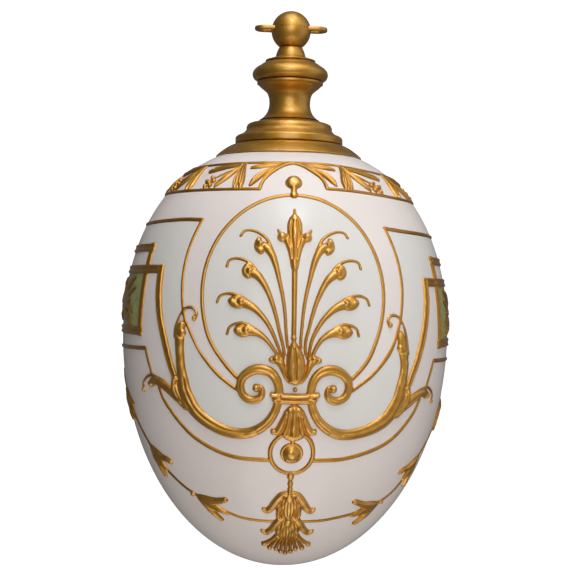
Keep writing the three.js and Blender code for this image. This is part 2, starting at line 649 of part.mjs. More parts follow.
function palmette() {
  const lance = across([[0, -32.9, 0.6], [0, -30.4, 2.8], [0, -27.5, 3.9], [0, -23.3, 2.8],
    [0, -18.8, 1.5]]);
  const sepal = across([[0.5, -18.8, 1], [1.1, -22.8, 1.7], [2.4, -25.5, 2.1], [3.6, -26.4, 1.5],
    [4.1, -27.5, 0.8]]);
  const budLeaf = across([[1.3, 10.2, 1.7], [2.9, 7.5, 2.1], [4.6, 5.3, 2.2], [6.2, 5.3, 1.2]]);
  const bud = across([[0, -0.6, 0.8], [0, 2.6, 2.8], [0, 5.2, 4.2], [0, 9.2, 4.2], [0, 11.2, 2.6]]);
  const pieces = [
    stroke(lance, SCROLL_HEIGHT, 6),
    stroke(across([[0, -20.3, 1.5], [0, -9.8, 1.2], [0, 1.2, 1.1]]), LINE_HEIGHT, 3),
    stroke(bud, SCROLL_HEIGHT, 5),
    ...bothSides(sepal, LEAF_HEIGHT, 4),
    ...bothSides(budLeaf, LEAF_HEIGHT, 3),
  ];
  for (const { leaf, tendril } of LEAF_PAIRS) {
    pieces.push(...bothSides(across(leaf), LEAF_HEIGHT, 6));
    pieces.push(...bothSides(across(tendril), LINE_HEIGHT, 4));
  }
  return joined(pieces);
}

// Festoon: a garland with husks from the side down to the leaf pendant under the ring
function festoon() {
  const garland = around([[SIDE_END, 11.2], [82, 13.5], [75, 17.7], [70, 23], [65.5, 28.5], [61, 33.5],
    [57, 37.2], [51, 40.3], [46.8, 42.1], [36.3, 45.2], [29.2, 46.7], [22, 47.9], [14.7, 48.4],
    [4, 48.5]]);
  const husks = [
    [[47, 42.1, 0.9], [40, 42.6, 2.2], [33, 43.2, 1.7], [29, 43.5, 1.2]],
    [[47, 42.1, 0.9], [41, 44.8, 2.2], [36, 47.8, 1.6], [34.4, 49.2, 1.2]],
    [[66, 28.2, 0.9], [61, 31.2, 2.2], [56, 33.2, 1.7], [53, 34, 1.2]],
    [[66, 28.2, 0.9], [62.6, 32.2, 2.2], [60, 35.2, 1.6], [58.8, 37.4, 1.2]],
  ];
  const upperLeaf = across([[0.6, 39.8, 1.6], [2.4, 42, 2], [4.1, 44.6, 1.9], [6.2, 45.1, 1.5]]);
  const middleLeaf = across([[0.8, 45.8, 1.6], [2.7, 48.4, 2], [4.4, 50.8, 1.8], [6.3, 51.4, 1.4]]);
  const fan = [[5.8, 55.4], [3.1, 57.2]];
  const stemTop = RING_DEPTH + RING_RADIUS + LINE_WIDTH / 2 + GILDING_BREAK;
  const pieces = [
    stroke(across([[0, stemTop, 1.6], [0, 36.4, 1.5]]), LEAF_HEIGHT, 2, 0.5),
    stroke(across([[0, 36, 0.9], [0, 40.7, 1]]), LINE_HEIGHT, 2),
    boss(byOffset(0, 37.6), 0.8, LEAF_HEIGHT, 7),
    stroke(across([[0, 39.4, 2], [0, 42.2, 3], [0, 45.7, 2.6], [0, 48.2, 2.6]]), SCROLL_HEIGHT, 4),
    stroke(across([[0, 47, 2.4], [0, 51.2, 3], [0, 55.2, 2.6], [0, 58.4, 1.6]]), SCROLL_HEIGHT, 4),
    ...bothSides(garland, LINE_HEIGHT, 11),
    ...bothSides(upperLeaf, LEAF_HEIGHT, 3),
    ...bothSides(middleLeaf, LEAF_HEIGHT, 3),
  ];
  for (const husk of husks) {
    pieces.push(...bothSides(around(husk), LEAF_HEIGHT, 2));
  }
  for (const [x, depth] of fan) {
    const blade = across([[0.4, 49.2, 1.2], [x * 0.6, 52.8, 1.7], [x, depth, 1.8]]);
    pieces.push(...bothSides(blade, LEAF_HEIGHT, 2));
  }
  return joined(pieces);
}

// Stepped frame of a side panel, mirrored about the middle of the side
const PANEL_HEIGHT = 16.7;
const EAR_HEIGHT = 5.6;
const PANEL_FOOT_DEPTH = 0.5;
const CROSS_BAR_DEPTH = PANEL_FOOT_DEPTH - PANEL_HEIGHT;
const EAR_BAR_DEPTH = CROSS_BAR_DEPTH - EAR_HEIGHT;
const UPRIGHT_ANGLE = 61;
const BAND_ANGLE = 51.8;

function aboutSide(path) {
  return path.map(({ angle, z, width }) => ({ angle: Math.PI - angle, z, width }));
}

function panelFrame() {
  const band = around([[BAND_ANGLE, CROSS_BAR_DEPTH + 1, 2.3], [50.5, -9.8, 2.3], [48.7, -3.8, 2.2],
    [46.3, 2.7, 2.1], [43.9, 8.2, 2]]);
  const upright = [EAR_BAR_DEPTH - BAR_WIDTH / 2, -10.8, PANEL_FOOT_DEPTH + 1.1]
    .map((depth) => byAngle(UPRIGHT_ANGLE, depth, BAR_WIDTH));
  const pieces = [];
  for (const path of [band, upright]) {
    pieces.push(stroke(path, BAR_HEIGHT, 3, 0.6), stroke(aboutSide(path), BAR_HEIGHT, 3, 0.6));
  }
  const bars = [[BAND_ANGLE - 1.5, CROSS_BAR_DEPTH], [UPRIGHT_ANGLE - 1.4, EAR_BAR_DEPTH],
    [UPRIGHT_ANGLE - 1.4, PANEL_FOOT_DEPTH]];
  for (const [start, depth] of bars) {
    const path = [];
    for (let i = 0; i <= 4; i++) {
      path.push(byAngle(start + ((180 - 2 * start) * i) / 4, depth, BAR_WIDTH));
    }
    pieces.push(stroke(path, BAR_HEIGHT, 7, 0.6));
  }
  return joined(pieces);
}

// Leaf rosette in the middle of a side panel's ground
const ROSETTE_DEPTH = (CROSS_BAR_DEPTH + PANEL_FOOT_DEPTH) / 2;
const ROSETTE_RISE = (PANEL_FOOT_DEPTH - CROSS_BAR_DEPTH - BAR_WIDTH) * 0.37;

function panelRosette() {
  const pieces = [boss(byAngle(90, ROSETTE_DEPTH), 2, 1.3, 10)];
  for (let i = 0; i < 6; i++) {
    const a = (i * Math.PI) / 3;
    const reach = i % 3 === 0 ? 12 : ROSETTE_RISE;
    const sway = i % 3 === 0 ? 0 : 2.4;
    const rows = [1, 2.6, reach * 0.6, reach].map((r, k) => {
      const degrees = 90 + (r * Math.cos(a) + (k === 3 ? sway * Math.sign(Math.cos(a)) : 0)) / 0.8;
      return byAngle(degrees, ROSETTE_DEPTH - r * Math.sin(a), [0.9, 1.9, 1.9, 0.8][k]);
    });
    pieces.push(stroke(rows, LEAF_HEIGHT, 3));
  }
  return joined(pieces);
}

// Shoulder band: a plain line above, an arched line below, leaf sprays and berries between
const SPRAY_PITCH = 30;
const SPRAYS_PER_QUARTER = 2;
const FIRST_SPRAY_ANGLE = 26.5;
const ARCH_HALF_WIDTH = 8.9;

function uprightLeaf(start) {
  return [[start + 0.9, inBand(0), 1.2], [start - 0.4, inBand(0.56), 2.8], [start - 1.6, inBand(1), 1.6]];
}

function spray(start, quarter) {
  const leaves = [
    uprightLeaf(start),
    [[start + 1.5, inBand(0.09), 1.1], [start + 12.5, inBand(0.22), 2], [start + 21, inBand(0.36), 1.3]],
    [[start + 2, inBand(0.14), 1], [start + 7, inBand(0.59), 2.2], [start + 10.6, inBand(0.9), 1]],
  ];
  return leaves.map((leaf, i) => stroke(quarter(around(leaf)), LEAF_HEIGHT + 0.2 * i, 2));
}

function shoulderBand() {
  const quarters = [(path) => path, mirrored, aboutSide, (path) => aboutSide(mirrored(path))];
  const pieces = [];
  const half = (from, to, depth, steps) => {
    const path = [];
    for (let i = 0; i <= 8; i++) {
      path.push(byAngle(from + ((to - from) * i) / 8, depth));
    }
    return stroke(path, LINE_HEIGHT, steps);
  };
  pieces.push(half(-91, 91, BAND_TOP_DEPTH, 14), half(89, 271, BAND_TOP_DEPTH, 14));
  const foot = THREE.MathUtils.radToDeg(byOffset(ARCH_HALF_WIDTH, BAND_FOOT_DEPTH).angle);
  pieces.push(half(foot, 180 - foot, BAND_FOOT_DEPTH, 12), half(180 + foot, 360 - foot, BAND_FOOT_DEPTH, 12));
  for (const quarter of quarters) {
    const arch = across([[ARCH_HALF_WIDTH, inBand(1.04), 1], [8, inBand(0.67), 1.1],
      [5.2, inBand(0.34), 1.2], [2.4, inBand(0.15), 1.2], [0, inBand(0.07), 1.2]]);
    const archLeaf = across([[4.4, inBand(0.26), 1], [8.6, inBand(0.34), 1.3], [11, inBand(0.8), 0.9]]);
    pieces.push(stroke(quarter(arch), LEAF_HEIGHT, 4));
    pieces.push(stroke(quarter(archLeaf), SCROLL_HEIGHT, 2));
    for (let i = 0; i < SPRAYS_PER_QUARTER; i++) {
      pieces.push(...spray(FIRST_SPRAY_ANGLE + i * SPRAY_PITCH, quarter));
    }
    const last = FIRST_SPRAY_ANGLE + SPRAYS_PER_QUARTER * SPRAY_PITCH;
    pieces.push(stroke(quarter(around(uprightLeaf(last))), LEAF_HEIGHT, 2));
  }
  return joined(pieces);
}

// Assembly
const egg = new THREE.Group();
egg.name = 'porcelain_easter_egg';

function place(name, geometry, look) {
  const mesh = new THREE.Mesh(geometry, new THREE.MeshStandardMaterial(look));
  mesh.name = name;
  egg.add(mesh);
}

// The same gilding is laid on two opposite faces
function placeTwice(names, manifold) {
  const near = surfaceOf(manifold);
  const far = near.clone();
  far.rotateZ(Math.PI);
  place(names[0], near, GILDING);
  place(names[1], far, GILDING);
}

place('ball_upper', surfaceOf(ballHalf(1)), BRASS);
place('ball_lower', surfaceOf(ballHalf(-1)), BRASS);
place('eye_bar', surfaceOf(eyeBar(0, true)), BRASS);
place('tie_rod', rodSurface(), STEEL);
place('neck_collar', turnedWithBore(neckOutline(), BORE_RADIUS), BRASS);
place('knop_ring', turnedWithBore(knopOutline(), BORE_RADIUS), BRASS);
place('baluster', turnedWithBore(balusterOutline(), BORE_RADIUS), BRASS);
place('base_disc', turnedWithBore(baseOutline(), BORE_RADIUS), BRASS);
place('flange_cap', capSurface(), BRASS);
place('seat_washer', washerSurface(), LEATHER);
place('egg_shell', shellSurface(), GLAZE);
place('toggle_bar', toggleSurface(), STEEL);
place('clamp_nut', nutSurface(), STEEL);
place('shoulder_band', surfaceOf(shoulderBand()), GILDING);
placeTwice(['scroll_frame_front', 'scroll_frame_back'], scrollFrame());
placeTwice(['palmette_front', 'palmette_back'], palmette());
placeTwice(['festoon_front', 'festoon_back'], festoon());
placeTwice(['panel_frame_right', 'panel_frame_left'], panelFrame());
placeTwice(['panel_rosette_right', 'panel_rosette_left'], panelRosette());

export default egg;
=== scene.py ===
"""Looks of a hanging porcelain Easter egg with raised gilding and a turned brass mount.

Lengths in the tables are millimetres. A depth is measured down from the drawing's level, which
lies a little below the hanging eyes. An angle is measured in degrees from the middle of the
front, and x is the distance from the front's centre line.
"""
import math

import bpy
import numpy as np
from mathutils import Matrix, Vector


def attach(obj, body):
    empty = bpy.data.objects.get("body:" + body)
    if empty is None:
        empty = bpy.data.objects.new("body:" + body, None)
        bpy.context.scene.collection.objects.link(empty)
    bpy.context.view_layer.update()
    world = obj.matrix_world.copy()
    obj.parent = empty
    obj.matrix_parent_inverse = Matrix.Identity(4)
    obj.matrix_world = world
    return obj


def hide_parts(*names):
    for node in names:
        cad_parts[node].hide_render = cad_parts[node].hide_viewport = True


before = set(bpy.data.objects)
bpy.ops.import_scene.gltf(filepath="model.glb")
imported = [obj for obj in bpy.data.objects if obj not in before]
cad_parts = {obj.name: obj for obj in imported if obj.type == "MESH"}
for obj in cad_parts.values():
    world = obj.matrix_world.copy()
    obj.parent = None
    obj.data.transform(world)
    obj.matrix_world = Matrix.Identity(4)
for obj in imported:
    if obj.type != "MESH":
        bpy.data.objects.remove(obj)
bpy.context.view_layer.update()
MM = 0.001
# height of the hanging eyes above the drawing's level
EYE_RISE = 0.35

# The egg

GIRTH_RADIUS = 46.25
GIRTH_DEPTH = 86.8
UPPER_HEIGHT = 53.0
LOWER_HEIGHT = 66.2
# powers of the upper half's outline; the lower half is a plain ellipse
HEIGHT_POWER = 2.05
WIDTH_POWER = 2.6
WALL = 3.5
NECK_OPENING = 12.0
# radius at which a sideways shift of the ornament becomes an angle
SHIFT_RADIUS = 45.0


def egg_radius(depth):
    """Radius of the glaze at a depth."""
    depth = np.asarray(depth, float)
    rise = np.clip((GIRTH_DEPTH - depth) / UPPER_HEIGHT, 0, 1)
    drop = np.clip((depth - GIRTH_DEPTH) / LOWER_HEIGHT, 0, 1)
    upper = (1 - rise ** HEIGHT_POWER) ** (1 / WIDTH_POWER)
    lower = np.sqrt(1 - drop ** 2)
    return GIRTH_RADIUS * np.where(depth <= GIRTH_DEPTH, upper, lower)


def egg_depth(radius, shrink=0.0):
    """Depth of the upper half at a radius, on the glaze or shrunk to the hollow inside it."""
    width = np.clip(np.asarray(radius, float) / (GIRTH_RADIUS - shrink), 0, 1)
    rise = (1 - width ** WIDTH_POWER) ** (1 / HEIGHT_POWER)
    return GIRTH_DEPTH - (UPPER_HEIGHT - shrink) * rise


def egg_normal(depth):
    """Outward and upward parts of the glaze's normal at a depth."""
    reach = 0.02
    lean = (egg_radius(depth + reach) - egg_radius(depth - reach)) / (2 * reach)
    length = np.sqrt(1 + lean ** 2)
    return 1 / length, lean / length


def eased_step(value, low, high):
    """Smooth rise from 0 to 1 between two values."""
    t = np.clip((value - low) / (high - low), 0, 1)
    return t * t * (3 - 2 * t)


def eased_span(value, low, low_end, high, high_end):
    """Smooth rise from 0 to 1 between the first two values and fall between the last two."""
    return eased_step(value, low, low_end) * eased_step(-value, -high_end, -high)


def hand_lean(angle, depth):
    """How far the hand-laid ornament sits too low (right) or too high (left) of its drawn place."""
    side = np.sin(angle)
    aside = np.abs(side)
    outward = 1.05 * eased_step(aside, 0.36, 0.78) * eased_step(depth, 50, 57)
    arm_top = 0.9 * eased_span(aside, 0.5, 0.58, 0.7, 0.78) * eased_span(depth, 83, 87, 90, 95)
    corner = 0.45 * eased_step(side, 0.1, 0.25) * eased_step(depth, 43, 46)
    band = (1.5 * eased_step(side, 0.25, 1.0) - corner) * eased_step(-depth, -52, -49)
    return np.sign(side) * (outward + arm_top) + band


def hand_shift(angle, depth):
    """How far the hand-laid ornament sits aside of its drawn place, as an angle."""
    side = np.sin(angle)
    aside = eased_step(np.abs(side), 0.62, 0.78)
    below_band = eased_step(depth, 48.5, 53)
    shoulder = -0.8 * (1 - aside) * (1 - below_band)
    middle = (-0.65 + 0.95 * aside) * below_band * eased_step(-depth, -94, -86)
    foot = -0.3 * eased_step(depth, 111, 115)
    right_husk = 2.3 * eased_step(side, 0.35, 0.5) * eased_step(depth, 122, 128)
    right_edge = 1.5 * eased_step(side, 0.88, 0.95) * eased_span(depth, 99.5, 104, 113, 120)
    return (shoulder + middle + foot + right_husk + right_edge) / SHIFT_RADIUS


def placed(name, data):
    """New object in the scene."""
    made = bpy.data.objects.new(name, data)
    bpy.context.scene.collection.objects.link(made)
    return made


def new_piece(name, points, faces, material, body, node, slot):
    """Smooth mesh of quads, in millimetres; it rides on a body and stands for a CAD node."""
    points = (np.asarray(points, float) - (0, 0, EYE_RISE)).astype(np.float32) * MM
    faces = np.asarray(faces, np.int32)
    mesh = bpy.data.meshes.new(name)
    mesh.vertices.add(len(points))
    mesh.vertices.foreach_set("co", points.ravel())
    mesh.loops.add(faces.size)
    mesh.loops.foreach_set("vertex_index", faces.ravel())
    mesh.polygons.add(len(faces))
    mesh.polygons.foreach_set("loop_start", np.arange(0, faces.size, 4, dtype=np.int32))
    mesh.polygons.foreach_set("use_smooth", np.ones(len(faces), bool))
    mesh.update(calc_edges=True)
    mesh.validate()
    mesh.materials.append(material)
    piece = placed(name, mesh)
    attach(piece, body)
    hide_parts(node)
    return piece


def add_values(piece, name, values):
    """Stores one number per vertex for the material."""
    layer = piece.data.attributes.new(name, "FLOAT", "POINT")
    layer.data.foreach_set("value", np.asarray(values, np.float32).ravel())


def flowing(spots, spacing):
    """Smooth path through rows of numbers, of which the first three are a place."""
    spots = np.asarray(spots, float)
    steps = np.linalg.norm(np.diff(spots[:, :3], axis=0), axis=1)
    knots = np.concatenate([[0], np.cumsum(np.sqrt(steps) + 1e-6)])
    if len(spots) > 2:
        slopes = np.gradient(spots, knots, axis=0)
    else:
        slopes = np.repeat(np.diff(spots, axis=0) / knots[1], 2, 0)
    out = []
    for i, step in enumerate(steps):
        gap = knots[i + 1] - knots[i]
        last = i == len(steps) - 1
        t = np.linspace(0, 1, max(2, int(step / spacing) + 1) + last, endpoint=last)[:, None]
        out.append((2 * t ** 3 - 3 * t ** 2 + 1) * spots[i]
                   + (t ** 3 - 2 * t ** 2 + t) * gap * slopes[i]
                   + (3 * t ** 2 - 2 * t ** 3) * spots[i + 1]
                   + (t ** 3 - t ** 2) * gap * slopes[i + 1])
    return np.vstack(out)


def eased(points):
    """Smooth profile through points of (radius, depth)."""
    path = flowing([(r, d, 0) for r, d in points], 0.12)
    return [(r, d) for r, d, _ in path]


def softened(profile, radius=0.16, steps=4):
    """Profile with its corners rounded, apart from bends that are slight already."""
    slight = math.radians(14)
    most = 0.45
    profile = [np.asarray(p, float) for p in profile]
    out = [profile[0]]
    for before, corner, after in zip(profile, profile[1:], profile[2:]):
        back = before - corner
        on = after - corner
        a = np.linalg.norm(back)
        b = np.linalg.norm(on)
        turn = math.acos(float(np.clip(np.dot(back, on) / (a * b), -1, 1)))
        if math.pi - turn < slight:
            out.append(corner)
            continue
        start = corner + back / a * min(radius, most * a)
        end = corner + on / b * min(radius, most * b)
        for i in range(steps + 1):
            t = i / steps
            out.append((1 - t) ** 2 * start + 2 * t * (1 - t) * corner + t * t * end)
    out.append(profile[-1])
    return np.array(out)


def grid_faces(rows, columns, joined_rows=False, joined_columns=True):
    """Quads of a grid of points; where it is joined, the last meets the first."""
    i, j = np.meshgrid(np.arange(rows if joined_rows else rows - 1),
                       np.arange(columns if joined_columns else columns - 1), indexing="ij")
    near = i * columns
    far = (i + 1) % rows * columns
    n = (j + 1) % columns
    return np.stack([near + j, far + j, far + n, near + n], -1).reshape(-1, 4)


def turned(profile, segments=160):
    """Points and faces of a closed turned form; the profile is a loop of (radius, depth)."""
    angle = np.arange(segments) * 2 * math.pi / segments
    r, d = profile[:, 0:1], profile[:, 1:2]
    points = np.stack([r * np.sin(angle), -r * np.cos(angle), -d + 0 * angle], -1).reshape(-1, 3)
    faces = grid_faces(len(profile), segments, joined_rows=True)
    return points, faces[:, [0, 3, 2, 1]]


# bore that takes the tie rod, and the flat ring beside it
BORE = 1.5
BORE_EDGE = BORE + 0.4


def bored(outline):
    """Closed loop of an outline that runs from its foot up, with the bore inside."""
    foot = outline[0][1]
    top = outline[-1][1]
    outline = softened([(BORE_EDGE, foot)] + list(outline) + [(BORE_EDGE, top)])
    return np.vstack([outline, [[BORE, top], [BORE, foot]]])


# Materials

# where most of a noise's values lie
NOISE_LOW = 0.3
NOISE_HIGH = 0.7
# half width of the soft edge of a coloured field
FIELD_EDGE = 0.12


def shader(name):
    material = bpy.data.materials.new(name)
    material.use_nodes = True
    tree = material.node_tree
    return material, tree, tree.nodes["Principled BSDF"]


def settle(shader_node, values):
    """Sets constants on a node's sockets."""
    for key, value in values.items():
        shader_node.inputs[key].default_value = value


def node(tree, kind, inputs=None, **settings):
    made = tree.nodes.new(kind)
    for key, value in settings.items():
        setattr(made, key, value)
    settle(made, inputs or {})
    return made


def noise(tree, scale, detail=3.0, rough=0.55, stretch=(1, 1, 1)):
    """Noise over the object's own coordinates; scale is in waves to the metre."""
    place = node(tree, "ShaderNodeTexCoord")
    fit = node(tree, "ShaderNodeMapping", {"Scale": stretch})
    made = node(tree, "ShaderNodeTexNoise", {"Scale": scale, "Detail": detail, "Roughness": rough})
    tree.links.new(place.outputs["Object"], fit.inputs["Vector"])
    tree.links.new(fit.outputs["Vector"], made.inputs["Vector"])
    return made.outputs["Fac"]


def spread(tree, value, low, high, to_low, to_high):
    """Value carried from one range to another."""
    limits = {"From Min": low, "From Max": high, "To Min": to_low, "To Max": to_high}
    made = node(tree, "ShaderNodeMapRange", limits)
    tree.links.new(value, made.inputs["Value"])
    return made.outputs["Result"]


def blended(tree, factor, first, second):
    """Colour between two, each a colour or a link."""
    made = node(tree, "ShaderNodeMix", data_type="RGBA")
    tree.links.new(factor, made.inputs["Factor"])
    for name, value in (("A", first), ("B", second)):
        socket = [s for s in made.inputs if s.name == name and s.type == "RGBA"][0]
        if isinstance(value, tuple):
            socket.default_value = (*value, 1)
        else:
            tree.links.new(value, socket)
    return [s for s in made.outputs if s.type == "RGBA"][0]


def clouded(tree, scale, detail, first, second):
    """Colour that drifts between two."""
    drift = spread(tree, noise(tree, scale, detail), NOISE_LOW, NOISE_HIGH, 0, 1)
    return blended(tree, drift, first, second)


def uneven_polish(tree, surface, scale, low, high):
    drift = spread(tree, noise(tree, scale, 4), NOISE_LOW, NOISE_HIGH, low, high)
    tree.links.new(drift, surface.inputs["Roughness"])


def bump(tree, surface, height, strength, distance):
    made = node(tree, "ShaderNodeBump", {"Strength": strength, "Distance": distance})
    tree.links.new(height, made.inputs["Height"])
    tree.links.new(made.outputs["Normal"], surface.inputs["Normal"])


def stored(tree, name):
    made = node(tree, "ShaderNodeAttribute", attribute_type="GEOMETRY", attribute_name=name)
    return made.outputs["Fac"]


def glaze_material():
    """Gloss glaze: lilac white ground, celadon fields, green side panels."""
    material, tree, surface = shader("glaze")
    lilac = clouded(tree, 90, 4, (0.85, 0.765, 0.725), (0.875, 0.79, 0.75))
    celadon = clouded(tree, 90, 4, (0.78, 0.75, 0.705), (0.805, 0.775, 0.735))
    green = clouded(tree, 420, 5, (0.28, 0.29, 0.10), (0.40, 0.43, 0.19))
    field = spread(tree, stored(tree, "celadon"), -FIELD_EDGE, FIELD_EDGE, 0, 1)
    panel = spread(tree, stored(tree, "panel"), -FIELD_EDGE, FIELD_EDGE, 0, 1)
    ground = blended(tree, panel, blended(tree, field, lilac, celadon), green)
    tree.links.new(ground, surface.inputs["Base Color"])
    uneven_polish(tree, surface, 160, 0.2, 0.27)
    settle(surface, {"IOR": 1.38})
    bump(tree, surface, noise(tree, 240, 2), 0.05, 0.0004)
    return material


def brass_material():
    """Satin lacquered brass: clouded tone, worn lights and fine turning marks."""
    material, tree, surface = shader("brass")
    tone = clouded(tree, 260, 5, (0.54, 0.265, 0.02), (0.64, 0.335, 0.04))
    wear = spread(tree, noise(tree, 900, 4), 0.55, 0.78, 0, 0.5)
    tree.links.new(blended(tree, wear, tone, (0.72, 0.42, 0.1)), surface.inputs["Base Color"])
    uneven_polish(tree, surface, 520, 0.45, 0.53)
    settle(surface, {"Metallic": 1, "Coat Weight": 1, "Coat Roughness": 0.2})
    bump(tree, surface, noise(tree, 2600, 3, 0.6, (0.02, 0.02, 1)), 0.05, 0.0002)
    return material


def gilding_material():
    """Burnished raised gold, with painted shade that browns it where it runs out on the glaze and a
    painted highlight that lightens its crests.
    """
    material, tree, surface = shader("gilding")
    rise = stored(tree, "rise")
    tone = clouded(tree, 300, 5, (0.55, 0.24, 0.008), (0.67, 0.32, 0.02))
    # painted highlight: the higher the gold stands, the lighter and peachier its colour
    painted_highlight = blended(tree, spread(tree, rise, 0.3, 1.3, 0, 0.45), tone, (0.86, 0.52, 0.15))
    # painted shade: the gold turns dark brown where it runs low onto the glaze
    foot = blended(tree, spread(tree, rise, 0.02, 0.3, 0.6, 0), painted_highlight, (0.3, 0.11, 0.002))
    tree.links.new(foot, surface.inputs["Base Color"])
    uneven_polish(tree, surface, 700, 0.43, 0.53)
    settle(surface, {"Metallic": 1, "Coat Weight": 1, "Coat Roughness": 0.18})
    bump(tree, surface, noise(tree, 1500, 3), 0.12, 0.0002)
    return material


def plain_material(name, dark, light, metallic, low, high, scale):
    """Material of the hidden fittings."""
    material, tree, surface = shader(name)
    tree.links.new(clouded(tree, scale, 5, dark, light), surface.inputs["Base Color"])
    settle(surface, {"Metallic": metallic})
    uneven_polish(tree, surface, scale * 2, low, high)
    bump(tree, surface, noise(tree, scale * 4, 3), 0.2, 0.0002)
    return material


GLAZE = glaze_material()
GILDING = gilding_material()
BRASS = brass_material()
STEEL = plain_material("steel", (0.34, 0.33, 0.32), (0.52, 0.51, 0.5), 1.0, 0.4, 0.6, 400)
LEATHER = plain_material("leather", (0.13, 0.07, 0.04), (0.24, 0.14, 0.08), 0.0, 0.7, 0.9, 900)

# Turned brass mount

BALL_RADIUS = 5.66
BALL_CENTRE = 0.18
BALL_FOOT = 4.75
BALL_SEGMENTS = 96
# inside of the ball: edge at the seam, top of the hollow, hole for the rod and its start
BALL_RIM = 4.2
BALL_HOLLOW = 3.9
BALL_HOLE = 1.6
BALL_HOLE_TOP = 4.0
# the two halves meet at the level of the eyes
SEAM = -EYE_RISE
SEAM_HALF_GAP = 0.015
SEAM_BEVEL = 0.03
SEAM_INSET = 0.02
AXIS_GAP = 0.02
# spun cap: rim, flat top and how far its edge stands off the glaze
CAP_RIM = 20.9
CAP_TOP_RADIUS = 15.2
CAP_TOP = 33.15
CAP_STAND_OFF = 0.3
# eyes: loop, legs and rounded oblong section
EYE_CENTRE = 7.6
EYE_RADIUS = 2.175
EYE_LEG = 4.3
EYE_HALF_WIDTH = 0.7
EYE_HALF_HEIGHT = 0.62
EYE_ROUNDING = 0.6
EYE_SIDES = 20


def ball_arc(start, end):
    """Points on the ball from one height above its centre to another."""
    low = math.asin(start / BALL_RADIUS)
    high = math.asin(end / BALL_RADIUS)
    return [(BALL_RADIUS * math.cos(a), BALL_CENTRE - BALL_RADIUS * math.sin(a))
            for a in np.linspace(low, high, 40)]


def ball_profile(upper):
    if upper:
        edge = SEAM - SEAM_HALF_GAP
        arc = ball_arc(BALL_CENTRE - SEAM + SEAM_BEVEL, BALL_RADIUS - 0.0001)
        rim = [(BALL_RIM, edge), (arc[0][0] - SEAM_INSET, edge)]
        return np.array(rim + arc + [(AXIS_GAP, BALL_CENTRE - BALL_HOLLOW)])
    edge = SEAM + SEAM_HALF_GAP
    arc = ball_arc(BALL_CENTRE - BALL_FOOT, BALL_CENTRE - SEAM - SEAM_BEVEL)
    rim = [(arc[-1][0] - SEAM_INSET, edge), (BALL_RIM, edge), (BALL_HOLE, BALL_HOLE_TOP)]
    return np.array([(BALL_HOLE, BALL_FOOT)] + arc + rim)


def neck_profile():
    rim = [(7.0, 9.15), (7.2, 9.0), (7.2, 8.8)]
    skirt = eased([(7.1, 8.72), (6.2, 8.42), (5.2, 8.08), (4.5, 7.8)])
    neck = eased([(4.28, 7.6), (4.22, 7.2), (4.05, 6.6), (3.83, 6.0), (3.55, 5.4)])
    return bored(rim + skirt + neck + [(3.3, 4.95)])


def knop_profile():
    return bored(eased([(9.3, 14.75), (9.9, 14.5), (10.45, 14.05), (10.75, 13.45), (10.85, 12.75),
                        (10.7, 12.1), (10.35, 11.55), (9.85, 11.05), (9.35, 10.7), (8.8, 10.4),
                        (8.3, 10.0), (7.75, 9.65), (7.25, 9.35)]))


def baluster_profile():
    waist = eased([(8.4, 25.85), (7.85, 25.45), (6.8, 24.35), (6.15, 23.0), (5.9, 21.8),
                   (5.9, 20.4), (6.1, 19.2), (6.6, 18.1), (7.1, 17.6), (7.6, 17.2), (8.1, 16.8),
                   (8.55, 16.4), (8.9, 16.0)])
    return bored([(8.7, 26.0)] + waist + [(9.15, 15.8), (9.5, 15.65), (9.5, 15.05), (9.3, 14.95)])


def base_profile():
    rim = [(15.2, 32.95), (15.4, 32.75), (15.4, 31.3)]
    hollow = eased([(15.25, 31.0), (14.9, 30.7), (14.1, 30.35), (13.3, 29.95), (12.7, 29.4),
                    (12.35, 28.95)])
    step = [(12.3, 28.7), (12.3, 28.1)]
    shoulder = eased([(12.1, 27.75), (11.95, 27.4), (11.55, 27.15), (11.0, 26.95), (10.2, 26.75),
                      (9.4, 26.5)])
    return bored(rim + hollow + step + shoulder + [(8.9, 26.35), (8.4, 26.2)])


def cap_profile():
    lip = float(egg_depth(CAP_RIM)) - CAP_STAND_OFF
    edge = lip - 0.25
    points = [(CAP_RIM - 0.15, lip + 0.02), (CAP_RIM, lip - 0.2)]
    for s in np.linspace(23 / 24, 0, 24):
        r = CAP_TOP_RADIUS + (CAP_RIM - CAP_TOP_RADIUS) * s
        points.append((r, edge + (CAP_TOP - edge) * (1 - s ** 1.5)))
    outline = softened(points + [(BORE_EDGE, CAP_TOP)], 0.12)
    under = [(r, float(egg_depth(r)) - 0.75) for r in np.linspace(NECK_OPENING, 19.6, 8)]
    return np.vstack([outline, [(BORE, CAP_TOP), (BORE, under[0][1])], under])


def rounded(part):
    """Sine or cosine drawn out toward the corners of an oblong."""
    return math.copysign(abs(part) ** EYE_ROUNDING, part)


def eyes():
    """Two flat oblong loops; both legs of each run into the ball."""
    ring = []
    for turn in np.linspace(-math.pi / 2, math.pi / 2, 33):
        x, y = math.cos(turn), math.sin(turn)
        ring.append((EYE_CENTRE + EYE_RADIUS * x, EYE_RADIUS * y, x, y))
    ring = [(EYE_LEG, -EYE_RADIUS, 0, -1)] + ring + [(EYE_LEG, EYE_RADIUS, 0, 1)]
    points = []
    faces = []
    for side in (-1, 1):
        faces.append(len(points) + grid_faces(len(ring), EYE_SIDES))
        for x, y, nx, ny in ring:
            for b in np.arange(EYE_SIDES) * 2 * math.pi / EYE_SIDES:
                wide = EYE_HALF_WIDTH * rounded(math.cos(b))
                tall = EYE_HALF_HEIGHT * rounded(math.sin(b))
                points.append((side * (x + wide * nx), y + wide * ny, EYE_RISE + tall))
    return np.array(points), np.concatenate(faces)


